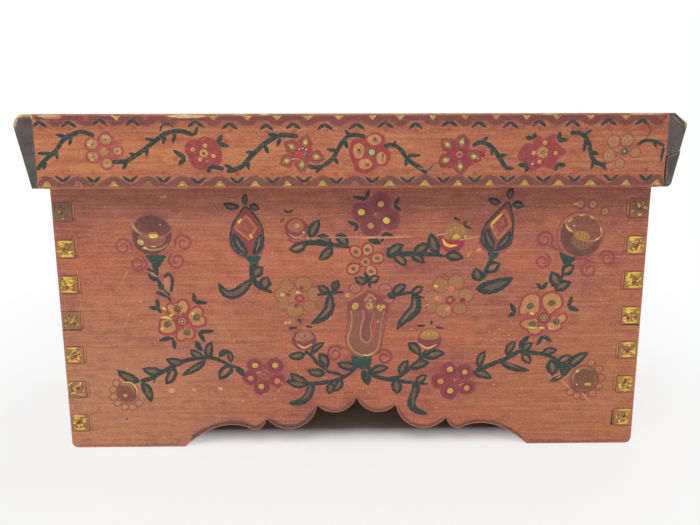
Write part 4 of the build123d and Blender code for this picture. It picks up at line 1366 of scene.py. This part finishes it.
dab(131, 38, 23, 22.4, "#A4504A", 0, 2.2, 0.9)
for x, z in (
    (134.2, 48.2), (138.8, 44.6), (140.4, 39.4), (139.4, 34.2), (136.1, 30), (131.4, 28.4), (127, 28.8),
    (123.4, 31),
):
    dab(x, z, 6.6, 6.3, "#A44A46", 1, 1, 0.95)
    dab(x, z, 4.8, 4.4, "#C2845A", 2, 0.8, 0.95)
    dots([(x, z)], 1.3, random.choice(("#6A4A3C", "#D09C5C")), 3, 0.85)
dab(130.8, 38.4, 18.8, 18.2, "#94504A", 3, 0.9)
dab(130.9, 38.4, 16.6, 16.2, "#87593F", 3, 0.9)
lick([(125, 35.6), (124.4, 40.8), (127, 44.2), (131.4, 45.4), (135.4, 43.6)],
     2.2, "#A87E54", 4, 0.7, 0.85)
brush([(124.4, 37.6), (129.4, 40.1), (134.4, 42.6), (137.4, 42.8)],
      1.3, "#643E32", 4, "line", 0.4, 0.85)
lick([(126.4, 33.2), (130, 31.9), (135, 33.2)], 1.4, "#A0704C", 4, 0.5, 0.8)
lick([(136.2, 41), (137.6, 37.4), (135.8, 34)], 1.4, "#9C6E50", 4, 0.5, 0.8)
dab(126.6, 43.4, 2.8, 2.2, "#E8C25E", 5, 0.4, 1, 40)
dab(133, 35.5, 4.8, 2.6, "#DDB24E", 5, 0.6)
dots([(126.7, 35.5)], 1.4, "#F0D8C8")
for points in ([(117.4, 38), (120.6, 35.4), (124.6, 31.6)], [(129.6, 30.8), (135.4, 24.4)]):
    lick(points, 1, "#D8A478", 5, 0.3, 0.85)
lay_on_wall("right_round_flower_paint")

# The dark line that follows the scallops and the feet's lower edges, where the sawn edge was
# rounded over: dark with dirt and handling, and with painted shade where the edge turns down from
# the light. A thin pale line of rubbed wood, with a painted highlight, runs along its arris.


def apron_height(x):
    """The height of the apron's edge at a place across, felt for from below."""
    below = Vector((x * mm, -half_depth + mm, -mm))
    return nodes["front_board"].ray_cast(below, Vector((0, 0, 1)))[1].z / mm


def inward(points, distance):
    """The points of an edge moved into the board, which lies above it."""
    moved = []
    for before, here, after in zip(points[:1] + points, points, points[1:] + points[-1:]):
        along = (Vector(after) - Vector(before)).normalized()
        moved.append(Vector(here) + Vector((-along.y, along.x)) * distance)
    return moved


def grime_and_shade_edge(points, wide, colour, cover):
    """Dirt and painted shade up to a cut edge, fading into the board and narrowing towards both ends."""
    last = len(points) - 1
    start = random.uniform(0, bristle_run)
    depths = [wide * min(1, (min(n, last - n) + 1) / 3) for n in range(last + 1)]
    rows = []
    for share, height in ((0.02, 1), (0.45, 1), (1, 0)):
        moved = [inward(points, deep * share)[n] for n, deep in enumerate(depths)]
        rows.append([(p.x, p.y, height, cover * height, (p.y, start + p.x)) for p in moved])
    spots = [spot for row in zip(*rows) for spot in row]
    faces = []
    for n in range(last):
        faces += [(3 * n + k, 3 * n + 3 + k, 3 * n + 4 + k, 3 * n + 1 + k) for k in range(2)]
    add_mark(spots, faces, colour, 0)


apron_left, apron_right, feet = -97, 102, 5
cusp_rise = 0.25
grime_and_shade_end = -30
bpy.context.view_layer.update()
edge = [(x, apron_height(x)) for x in range(apron_left, apron_right)]
heights = [z for x, z in edge]
steps = zip(heights, heights[1:], heights[2:])
cusps = [n for n, (before, here, after) in enumerate(steps, 1) if here - max(before, after) > cusp_rise]
for first, last in zip([feet] + cusps, cusps + [len(edge) - feet]):
    run = edge[first:last + 1]
    # The runs at the left are darker, with more dirt and deeper painted shade on the rounded edge.
    grimy = run[0][0] < grime_and_shade_end
    grime_and_shade_edge(run, *((4.2, "#54443A", 0.95) if grimy else (3.6, "#6A443A", 0.85)))
    # A thin pale line along the arris: rubbed wood and a painted highlight.
    brush(inward(run, 0.35), 0.4, "#C89870", 2, "even", 0.2, 0.8)
# A darker olive wedge at the left, painted shade where the rounded edge turns down.
lick(inward(edge[8:34], 1.7), 1.8, "#4A4636", 1, 0.7, 0.9)
# Dark bands along the feet's lower edges, of dirt and painted shade.
brush([(-156, 1.6), (-120, 1.3), (-99, 1.8)], 2.2, "#5A3C30", 1, "even", 0.9, 0.6)
brush([(101, 1.8), (120, 1.3), (156, 1.6)], 2.2, "#5A3C30", 1, "even", 0.9, 0.6)
lay_on_wall("scalloped_edge_paint")

# Chips, scratches and dents of the front board, where bare wood or lighter paint shows through
# the ground. The larger ones stand where the photograph shows them.

for x, z, wide, high in (
    (-102, 33.5, 4.4, 3.6), (-89.3, 34, 3.4, 2.6), (-74.5, 34.5, 3.8, 2.6), (-126, 46.5, 2, 1.6),
    (-36, 72.5, 5, 2.2), (-66, 62, 1.8, 1.5), (-66, 54.5, 1.8, 1.6), (-62, 27, 1.8, 1.4),
    (-58, 30.5, 1.8, 1.4), (-42, 33, 2, 1.5), (-32, 33.5, 2, 1.4), (-8, 28.7, 1.8, 1.2),
    (32.5, 68.4, 2, 1.5), (79.5, 36, 2, 1.5), (-100.5, 142, 4.4, 1.9), (63, 127, 1.4, 1),
):
    dab(x, z, wide, high, "#EBA878", 5, 0.5, 0.95, random.uniform(-20, 20))
dab(-61, 83, 22, 9, "#8A4C50", 0, 3.5, 0.5)
dab(101, 38, 34, 15, "#8C5242", 0, 5, 0.42)
dots([(-116, 85), (-12.5, 74.6)], 1.2, "#EAD9C4")
dots([(76, 66.6), (81.6, 68.2), (77.6, 61.4), (87, 64.6), (-71, 58.6), (-40, 37.6)], 1.3, "#E4A27A")
dots([(78.8, 65.4), (84, 67.2), (80.6, 59.6), (90.4, 61), (71.4, 63), (-68.8, 66), (-44, 28.4)],
     0.9, "#EDB890")
dab(-128, 17, 2.6, 2.2, "#6A3E34", 5, 0.6, 0.8)
for points in (
    [(-122, 102), (-126, 95), (-129, 90)], [(-122, 80), (-124, 75), (-126, 70)],
    [(-143, 60.2), (-137, 60), (-131, 60.2)],
):
    brush(points, 1.1, "#D99C74", 5, "line", 0.4, 0.75)
lick([(-30, 119.3), (-10, 119.7), (6, 119.6)], 1.1, "#D58E68", 5, 0.35, 0.8)
lick([(-4, 119.8), (14, 119.6), (34, 119.9)], 1.5, "#E29C76", 5, 0.4, 0.9)
lick([(57, 118), (63, 118.8), (69.4, 120.2)], 1.3, "#DE9C70", 5, 0.4, 0.85)
dab(68.6, 112.6, 3.4, 2.4, "#E8A873", 5, 0.5, 0.95, 15)
dab(63.2, 110.2, 1.6, 3, "#E3A060", 5, 0.4, 0.9, -10)
dab(-157.5, 146.4, 3, 1.5, "#C8A23E", 4, 0.4)
lay_on_wall("chips_and_scratches")

# The lid's borders: plum scallops along both edges of the front rail with a touch of yellow in
# each, and a dark chevron with a red dot in each gap.

lid_low, lid_high = 146.7, 183.3
rail_end, line_end = 159.6, 159.4
scallop_plum, chevron_red = "#884848", "#B2453E"
chevron_arm = (3.3, 4.1)
lower_yellows = (
    -156, -140, -122, -104.5, -87, -68, -50, -33.5, -15.5, 1, 19, 37, 54, 70.5, 88.5, 106, 122.5, 141,
    157,
)
dull_yellows = (-140, -104.5, 1)
upper_yellows = (
    -149, -134, -118.5, -104, -92, -70, -53, -38, -22.5, -7, 10, 24, 40.5, 57, 72.5, 88, 103.5, 120.5,
    138.5, 156,
)
faint_yellows = (-149, -134, -104, -92, 156)


def on_rail(points):
    """The points, none of them past the ends of the rail."""
    return [(max(-rail_end, min(rail_end, x)), z) for x, z in points]


def arch(x, crown, *sides):
    """An arch round a place on the rail: its left side, its crown and the same side mirrored."""
    left = [(x - away, z) for away, z in sides]
    right = [(x + away, z) for away, z in reversed(sides)]
    return on_rail(left + [(x, crown)] + right)


def border_line(level, middle_level):
    """A line along the whole rail, given its heights at the ends and in the middle."""
    return [(-line_end, level), (0, middle_level), (line_end, level)]


for x in lower_yellows:
    shape(arch(x, 153.9, (9.8, lid_low), (7, 150.2), (3.4, 152.8)), scallop_plum, 0, 1.7)
for x in lower_yellows:
    brush(arch(x, 150.8, (6, 147.8), (3.2, 149.8)), 2.4, "#80504A", 1, "even", 1)
    dull = x in dull_yellows
    hue = "#96704E" if dull else "#BE9A4C"
    half = random.uniform(5.4, 7.6) / 2
    foot = lid_low + 0.3
    tooth = [(x - half, foot), (x - 0.7, 150.3), (x + 0.6, 150.5), (x + half, foot)]
    shape(on_rail(tooth), hue, 3, sharp=True)
    if not dull:
        dab(x + random.uniform(-1, 1), 148.2, 2.8, 1.6, "#DCBE54", 4, 0.4)
brush(border_line(lid_low + 0.5, lid_low + 0.5), 1, "#8A5A44", 2, "even", 0.3, 0.8)
lay_on_lid("lid_lower_scallops_paint")

for x in upper_yellows:
    shape(arch(x, 175.9, (9.6, lid_high - 0.6), (6.8, 179.4), (3.4, 176.8)), scallop_plum, 0, 2.8)
brush(border_line(181.4, 181.2), 3.2, "#8A4A48", 1, "even", 0.9)
for x in upper_yellows:
    half = random.uniform(4, 7) / 2
    foot = lid_high - 0.7
    faint = x in faint_yellows
    hue = "#A0604E" if faint else random.choice(("#C8A24A", "#C9A65A", "#B98F50"))
    tooth = [(x - half, foot), (x - 0.6, 180.2), (x + 0.6, 180.1), (x + half, foot)]
    shape(tooth, hue, 3, sharp=True)
    if not faint:
        dab(x + random.uniform(-1, 1), 182, 2, 1, "#E2CC66", 4, 0.3)
lay_on_lid("lid_upper_scallops_paint")

upper_chevrons = (
    (-157, 180.2), (-142.5, 180), (-127, 181), (-110.5, 180.8), (-79, 180), (-62, 179), (-43.5, 178.5),
    (-30, 179), (-14, 178.5), (2, 178.7), (16.5, 179.5), (32, 179), (49, 180), (64, 179.5), (80, 179.3),
    (94.5, 180), (111.5, 180), (130, 180.5), (147, 180.5),
)
lower_chevrons = (
    (-147.5, 150), (-132, 149.5), (-113.5, 149.8), (-96.5, 149.5), (-79, 149), (-59, 149), (-41, 149),
    (-25, 149.3), (-8.5, 148.7), (10, 149), (28, 149), (46.5, 149), (62.5, 149.2), (79.5, 149.3),
    (98, 149.2), (114, 149.3), (133, 149.7), (151, 149.8),
)
for x, z in upper_chevrons:
    arm = random.uniform(*chevron_arm)
    brush([(x, z), (x - arm, z - 3)], 2, vine, 4)
    brush([(x - 0.3, z), (x + arm, z - 3.1)], 2.1, vine, 4)
    dab(x + 0.3, z - 3.8, 3.8, 3.4, chevron_red, 3, 1.2, 0.75)
lay_on_lid("lid_upper_chevrons_paint")
for x, z in lower_chevrons:
    arm = random.uniform(*chevron_arm)
    brush([(x, z), (x - arm, z + 3.1)], 1.9, vine, 4)
    brush([(x, z), (x + arm, z + 3.2)], 1.9, vine, 4)
    dab(x, z + 4.8, 3.8, 3.4, chevron_red, 3, 1.2, 0.7)
lay_on_lid("lid_lower_chevrons_paint")

# The thorny vines on the lid, between the flowers and at both ends. Each is one dark stroke that
# rises or falls to the right, with short thorns pulled out of it.


def thorny_vine(stalk, thorns, width=2.5):
    """A stalk with short thorns, each drawn from the stalk out to its tip."""
    brush(stalk, width, vine, 3, "even", 0.3)
    for tip, base in thorns:
        brush([base, tip], width * 0.85, vine, 4, "line", 0.2)


thorny_vine(
    [
        (-160.4, 156), (-155, 161.5), (-150, 165.5), (-146, 170.5), (-141, 173.5), (-136, 174.8),
        (-130, 172.7),
    ],
    [
        ((-159.5, 164.3), (-152, 164)), ((-157, 156), (-155.5, 160.6)), ((-149.8, 161), (-149.5, 165)),
        ((-149.5, 173.5), (-143, 172)), ((-143, 168), (-141.5, 172.5)),
    ],
)
thorny_vine(
    [
        (-122, 159.8), (-115, 160.3), (-110, 163), (-104, 167), (-100, 170), (-95, 173.5), (-90, 175),
        (-86, 175), (-80, 173),
    ],
    [
        ((-117, 156), (-114.5, 160)), ((-113.5, 164.3), (-109.5, 163)), ((-105, 171.5), (-100, 170.5)),
        ((-104.5, 162.5), (-104, 167)), ((-96, 168.5), (-94.5, 173)), ((-91, 169), (-89.5, 174)),
        ((-78, 177), (-80, 173)),
    ],
)
brush([(-97, 175), (-95.6, 178), (-92, 178.6), (-90, 176.5)], 1.2, vine, 3, "line", 0.2)
thorny_vine([(-73.8, 154.2), (-72, 157.3), (-65.5, 156)], [])
thorny_vine(
    [
        (-64.5, 155), (-58, 156.5), (-54, 160), (-50, 164), (-45, 168.5), (-38, 172.5), (-34, 173),
        (-27.5, 172.3),
    ],
    [
        ((-65.5, 158.5), (-61.5, 156.5)), ((-53, 155.5), (-53.5, 160)), ((-54.5, 164.7), (-50, 164)),
        ((-43, 163.7), (-44.5, 168)), ((-43, 173.7), (-38, 172.5)), ((-38.5, 167.3), (-36.5, 171.5)),
    ],
    2.7,
)
thorny_vine(
    [(-23, 157.5), (-17, 157), (-10.5, 161), (-8, 165), (-4, 171), (0, 173), (6.5, 172)],
    [
        ((-19, 154), (-15.5, 157.5)), ((-13.5, 166), (-8.5, 165.3)), ((-7.5, 158.3), (-9.5, 162)),
        ((-2.7, 166), (-4, 170.5)), ((-4, 175.5), (-1.5, 172.5)),
    ],
)
thorny_vine(
    [(15.7, 167.3), (20, 168), (24, 166), (27.5, 161.5), (31, 158.5), (35, 156), (38, 153.5)],
    [((22, 170.2), (20.6, 168)), ((35, 162.8), (28, 162.7)), ((27, 157), (27.5, 161.5))],
)
brush([(33, 156.5), (41, 155), (47, 155)], 1.1, "#6C7060", 3, "line", 0.3, 0.8)
brush([(39, 155.5), (42, 159)], 1.1, vine, 3, "tail", 0.2)
thorny_vine(
    [(61, 167.3), (64, 169), (68, 168.5), (72, 165.5), (75.5, 160.5), (78.5, 156.3)],
    [
        ((69, 172), (65.5, 169.4)), ((71, 162.6), (71, 166)), ((79, 162.7), (74.5, 162.5)),
        ((83, 156), (78, 156.2)),
    ],
)
thorny_vine(
    [
        (110.5, 173.7), (115, 173.8), (118, 172), (120.5, 168.5), (121.5, 164.5), (123.5, 160),
        (127, 158), (130, 158),
    ],
    [
        ((121.5, 175.2), (118, 173)), ((118, 164.3), (118.9, 171)), ((126, 163), (121.5, 164.3)),
        ((122.5, 155.6), (123.5, 160)), ((130.5, 155), (128, 157.8)),
    ],
)
thorny_vine(
    [(145, 167.3), (149, 169.8), (154, 169.5), (159.4, 167)],
    [((155.5, 166), (153.5, 169.3)), ((158, 159.3), (159, 166.4))],
    2,
)
brush([(149, 170), (151.5, 175), (149.4, 178.2)], 0.9, vine, 3, "line", 0.2, 0.8)
for points in (
    [(-91, 165.7), (-85, 161.5), (-89, 158)], [(-65.7, 173.5), (-68.5, 169), (-62.5, 167.5)],
    [(84.5, 158), (90, 157.3), (88.5, 154)], [(105.5, 174.5), (104.5, 170), (110, 170.5)],
    [(104, 154.5), (104.5, 158), (109.5, 157.5)], [(88, 171.7), (92, 170.8)], [(93, 173.5), (91, 170.5)],
):
    tick(points, 1.5)
dots([(-90, 161.5), (-64, 170)], 2.6, "#B8483E", 3, 0.85)
lay_on_lid("lid_vines_paint")

# The seven flowers on the lid, of crimson or rose petals with ochre rings or yellow seeds. Each
# is laid on in a few coats, from its soft halo to its seeds.

middle = (-125.7, 165)
dab(-125.2, 165, 22, 19, "#B4524E", 0, 3, 0.85)
for x, z, radius in (
    (-131.5, 168.7, 3), (-124.5, 171, 3), (-119, 165.2, 2.4), (-131.5, 162.5, 2.9), (-124.7, 159.2, 2.8),
):
    dab(x, z, radius * 2 + 4.2, radius * 2 + 3.8, "#B34E52", 1, 1.4, 0.95)
    dab(x, z, radius * 2.1, radius * 1.9, "#C4945C", 3, 0.6, 0.95)
    out = (Vector((x, z)) - Vector(middle)).normalized()
    for turn in (-1.4, -0.7, 0, 0.7, 1.4):
        fan = (out + Vector((-out.y, out.x)) * turn).normalized() * radius * 0.9
        brush([(x, z), Vector((x, z)) + fan], 0.9, "#DEC07A", 4, "line", 0.2, 0.8)
    dab(x, z, 2.1, 1.6, "#75613F", 5, 0.5, 0.9, 30)
dab(*middle, 4.6, 4.4, "#B8955A", 3, 0.5, 0.9)
dots([(-126.4, 164.4), (-125, 165.8)], 1.3, "#7A6A4E", 4, 0.9)
lay_on_lid("lid_flower_1_paint")

shape([(-86, 168), (-81.6, 171.8), (-76.6, 171.6), (-71.6, 172.6), (-66.6, 168.6), (-65.4, 163),
       (-67, 157.6), (-72.6, 155.2), (-78.4, 154.8), (-82.6, 157.6), (-84.8, 162.4)],
      "#AD4248", 1, 1.4, 0.97)
for x, z in ((-81, 166), (-74.7, 168.4), (-70.3, 162.7), (-77.8, 160)):
    ring(x, z, 3.6, 0.8, "#9A3B43", 2)
middle = (-75.5, 164)
dab(*middle, 5, 4.8, "#C89E50", 3, 0.5)
dab(*middle, 2.4, 2.2, "#9C4A42", 4, 0.4)
seeds = [(-81, 166), (-74.7, 167.8), (-70.7, 162.7), (-77.5, 161)]
dots(seeds, 2.4, "#E0B860", 4, 0.95)
dots(seeds, 0.9, "#A85048", 5, 0.9)
lay_on_lid("lid_flower_2_paint")


def pointed_petal(middle, x, z, halo, rim):
    """A petal that points away from the middle, from its halo and rim to its yellow heart."""
    here = Vector((x, z))
    out = (here - Vector(middle)).normalized()
    lick([here - out * 4.2, here, here + out * 4.6], 8.6, halo, 1, 1, 0.95)
    lick([here - out * 3.1, here, here + out * 3.5], 5.2, rim, 3, 0.5, 0.95)
    lick([here - out * 2.3, here, here + out * 2.5], 3.5, "#B08A5C", 4, 0.5, 0.95)
    dab(x, z, 2.6, 2.3, "#EAC850", 5, 0.4)


middle = (-25.5, 163.6)
dab(*middle, 14, 14, "#A83E46", 0, 1.8, 0.95)
for x, z in ((-31, 167.2), (-24, 169.2), (-18.4, 162), (-26, 158.2), (-33.4, 160.2)):
    pointed_petal(middle, x, z, "#A83E46", "#745A46")
dab(-27.6, 163, 3.8, 3.6, "#CC404A", 3, 0.5)
dab(-24.4, 163.6, 3.2, 2.8, "#75664A", 4, 0.4)
dots([(-24.4, 163.6)], 1.4, "#B49C6C", 5, 0.9)
brush([(-31.4, 160.8), (-29, 161.2), (-26.6, 160.6)], 0.7, "#D4A884", 5, "line", 0.2, 0.85)
dots([(-27, 166), (-25.4, 166.3), (-23.6, 165.8)], 1.1, "#E8D094")
lay_on_lid("lid_flower_3_paint")

shape([(1, 171.8), (6, 172.2), (10, 174.8), (16, 173.6), (17.4, 168.6), (20, 163), (17.8, 157.6),
       (12.6, 156.2), (8.6, 153.2), (2, 154), (-0.6, 158.6), (-2.4, 164), (-1.8, 169)],
      "#AA3E46", 1, 0.9, 0.97)
for x, z, wide, high in (
    (11, 170.5, 8.4, 6), (3, 165, 6.4, 8.8), (6.5, 158.5, 8, 6), (14.6, 161.4, 5.6, 7.4),
):
    dab(x, z, wide, high, "#CE965E", 3, 0.6)
    dab(x + 0.6, z - 0.8, wide * 0.5, high * 0.4, "#B57C4E", 4, 0.7, 0.7)
dots([(11.4, 170.8), (3.2, 165.4), (7.6, 158.2)], 2.2, "#6C543C", 5, 0.9)
dab(15.4, 162.8, 2.2, 3.4, "#77684A", 5, 0.5, 0.9)
dots([(10.2, 170.2), (2.6, 164.2), (6.4, 158.6)], 1.2, "#7A5A3C", 5, 0.8)
middle = (9.8, 164.3)
dab(*middle, 5.6, 5.4, "#56584A", 4, 0.5)
dab(*middle, 3.9, 3.8, "#D2B276", 5, 0.4)
lay_on_lid("lid_flower_4_paint")

shape([(44, 171), (50, 170.4), (55.4, 174), (60, 170.8), (60.4, 166), (68.6, 164.8), (66.6, 160),
       (60.6, 156.8), (56, 152), (51, 155.4), (44.6, 156), (43.4, 160.6), (47, 164.4)],
      "#A23C44", 1, 1.2, 0.97)
middle = (54.4, 163)
for x, z in ((48.2, 168), (55.5, 169.2), (61.8, 162), (47.5, 160.2), (55, 157)):
    pointed_petal(middle, x, z, "#A23C44", "#6E5648")
dab(*middle, 4, 3.8, "#B4806A", 4, 0.4)
dab(*middle, 2.4, 2.2, "#98484A", 5, 0.3)
dots([(54.4, 159.8)], 1.2, "#D06048")
dots([(68, 163.4), (66.4, 161)], 1.4, "#E0A070", 5, 0.7)
lay_on_lid("lid_flower_5_paint")

shape([(85, 166.6), (90.4, 168.6), (92.8, 173.8), (97.6, 172.2), (102.6, 174), (105, 169.4),
       (110, 164.4), (106, 160), (103.6, 154.6), (97.4, 156), (91, 153.6), (88, 158), (83.4, 161)],
      "#A23E48", 1, 1.5, 0.92)
dab(89.4, 163.4, 9, 12, "#9A444E", 2, 1.2)
middle = (97, 164)
dab(*middle, 6.6, 6.2, "#BE9452", 3, 0.6)
dab(*middle, 3, 2.8, "#7E5A44", 4, 0.5)
dots([middle], 1.3, "#D2AE6A", 5, 0.9)
for n in range(7):
    spot = (middle[0] + 2.4 * math.cos(n * 0.9), middle[1] + 2.3 * math.sin(n * 0.9))
    dab(*spot, 0.9, 0.9, "#75503E", 5, 0.3, 0.8)
dots([(98, 168.9), (92.4, 163.7), (103.7, 163.7), (95.6, 159.3)], 2.6, "#D4A450", 4, 0.95)
dots([(92, 158.2)], 1.4, "#F0DCC0")
lay_on_lid("lid_flower_6_paint")

dab(138, 164.6, 18, 16, "#B4605A", 0, 2.4, 0.5)
for x, z, radius in (
    (133, 169.5, 3), (140, 170, 3.1), (144.6, 164, 2.5), (131.4, 162.4, 3.1), (137, 158.3, 2.3),
):
    ring(x, z, radius + 0.3, 0.9, "#94564A", 4, 0.85)
    dab(x, z, radius * 2.1, radius * 2, "#BE8A5E", 2, 0.6, 0.9)
    for n in range(4):
        spot = (x + radius * 0.45 * math.cos(n * 1.7), z + radius * 0.4 * math.sin(n * 1.7))
        dab(*spot, 1, 0.8, "#77583F", 4, 0.3, 0.85)
middle = (139, 164.5)
dab(*middle, 5, 4.8, "#6A6456", 3, 0.5)
dots([middle], 1.6, "#D0A44A")
lay_on_lid("lid_flower_7_paint")

# Wear along the lid's top edge, where the pale wood shows, and the smears and scratches on the
# ends of its side rails.

arris, worn_level, wear_end, last_start = 183.35, 183, 159, 150
for first, last, width in (
    (-93, -73, 2.2), (-158, -146, 1.6), (-60, -52, 0.8), (-47, -41, 0.9), (96, 104, 0.7),
    (140, 158, 0.8), (20, 34, 0.5),
):
    level = arris - width / 2
    lick([(first, level), ((first + last) / 2, level), (last, level)], width, "#E6C48C", 5, 0.3)
reached = -wear_end
while reached < last_start:
    end = min(wear_end, reached + random.uniform(8, 34))
    scuff = [(reached, worn_level), ((reached + end) / 2, worn_level - 0.1), (end, worn_level)]
    lick(scuff, random.uniform(0.4, 0.8), "#C98F66", 3, 0.2, 0.85)
    reached = end + random.uniform(0.5, 5)
dab(-150.5, 181.8, 10, 2, "#D68E66", 4, 0.7, 0.8)
brush([(-121, 183), (-117.6, 180.4)], 1, "#E4CC88", 5)
for x, z, wide in ((-74, 160, 2), (66, 158.5, 3), (64, 161, 2), (-5, 154.6, 2), (125, 177.6, 1.6)):
    dab(x, z, wide, 1.2, "#D89466", 5, 0.4, 0.7)
lay_on_lid("lid_edge_wear")

lick([(-161.2, 182.4), (-164.4, 181.8), (-167.2, 180)], 2.4, "#8A5450", 1, 0.9, 0.75)
lick([(-160.9, 156.6), (-162.4, 155.6), (-164.2, 153)], 3.2, "#4C5E54", 1, 1, 0.75)
brush([(-161.2, 150), (-161.4, 165), (-161.2, 180)], 0.7, "#7E6A58", 2, "line", 0.2, 0.6)
for points in (
    [(162, 182.2), (166, 178.6)], [(163.6, 181.2), (167.8, 177)],
    [(161.8, 161.2), (164.2, 162.4), (166.8, 163.4)], [(161.6, 158.6), (161.9, 149)],
):
    lick(points, 0.7, "#B0885E", 3, 0.2, 0.8)
dab(163, 148.6, 3, 2.6, "#A88A5C", 2, 0.8, 0.7)
lay("side_rail_scratches", lid_front, "lid", rim_paint)

# A pale floor, an even white studio and the camera at the photograph's place. None of them is
# part of the box.

camera_place = (-4.83 * mm, -389.95 * mm, 151.42 * mm)
camera_yaw, camera_pitch, camera_roll = -0.667, -8.895, -0.185
photo_width_px = 700
focal_px = 540

finish, tree, shader, place = new_finish("white_paper_floor")
fill(tree, shader, {"Base Color": linear("#F2F2F2"), "Roughness": 0.9})
axes = add(tree, "SeparateXYZ", {0: place}).outputs
outside = [
    maths(tree, "SUBTRACT", maths(tree, "ABSOLUTE", axes[axis]), limit)
    for axis, limit in (("X", half_width), ("Y", half_depth))
]
distance = maths(tree, "MAXIMUM", *outside)
near = share_of(tree, distance, -22 * mm, 0, 0, 0.7)
beyond = share_of(tree, distance, 0, 0.3, 0, 0.3)
seen = add(tree, "LightPath").outputs["Is Camera Ray"]
faded = maths(tree, "MULTIPLY", seen, maths(tree, "ADD", near, beyond))
glow = add(tree, "Emission", {"Color": (1, 1, 1, 1), "Strength": 1})
mixed = add(tree, "MixShader", {0: faded, 1: shader.outputs[0], 2: glow.outputs[0]})
fill(tree, tree.nodes["Material Output"], {"Surface": mixed.outputs[0]})
bpy.ops.object.select_all(action="DESELECT")
bpy.ops.mesh.primitive_circle_add(vertices=96, radius=6, fill_type="NGON")
floor = bpy.context.object
floor.name = "floor"
floor.data.materials.append(finish)

world = bpy.data.worlds.new("studio")
bpy.context.scene.world = world
world.use_nodes = True
tree = world.node_tree
ray = add(tree, "LightPath").outputs["Is Camera Ray"]
strength = share_of(tree, ray, 0, 1, 0.36, 1)
fill(tree, tree.nodes["Background"], {"Color": (1, 1, 1, 1), "Strength": strength})


def softbox(name, place, aim, size, power):
    """A square soft light at a place, turned towards a point."""
    light = bpy.data.lights.new(name, "AREA")
    light.size = size
    light.energy = power
    lamp = bpy.data.objects.new(name, light)
    bpy.context.collection.objects.link(lamp)
    lamp.location = place
    turn = (Vector(aim) - Vector(place)).to_track_quat("-Z", "Y")
    lamp.rotation_euler = turn.to_euler()


softbox("front_softbox", (-0.35, -1.15, 1.9), (0, 0, 0.08), 1.2, 24)
softbox("back_softbox", (0.9, 1.3, 1.4), (0, 0, 0.1), 1.2, 9)

camera = bpy.data.cameras.new("camera")
camera.sensor_width = 36
camera.lens = camera.sensor_width * focal_px / photo_width_px
eye = bpy.data.objects.new("camera", camera)
bpy.context.collection.objects.link(eye)
eye.matrix_world = (
    Matrix.Translation(camera_place)
    @ Matrix.Rotation(math.radians(camera_yaw), 4, "Z")
    @ Matrix.Rotation(math.radians(90 + camera_pitch), 4, "X")
    @ Matrix.Rotation(math.radians(camera_roll), 4, "Z")
)
bpy.context.scene.camera = eye
bpy.context.scene.view_settings.view_transform = "Standard"
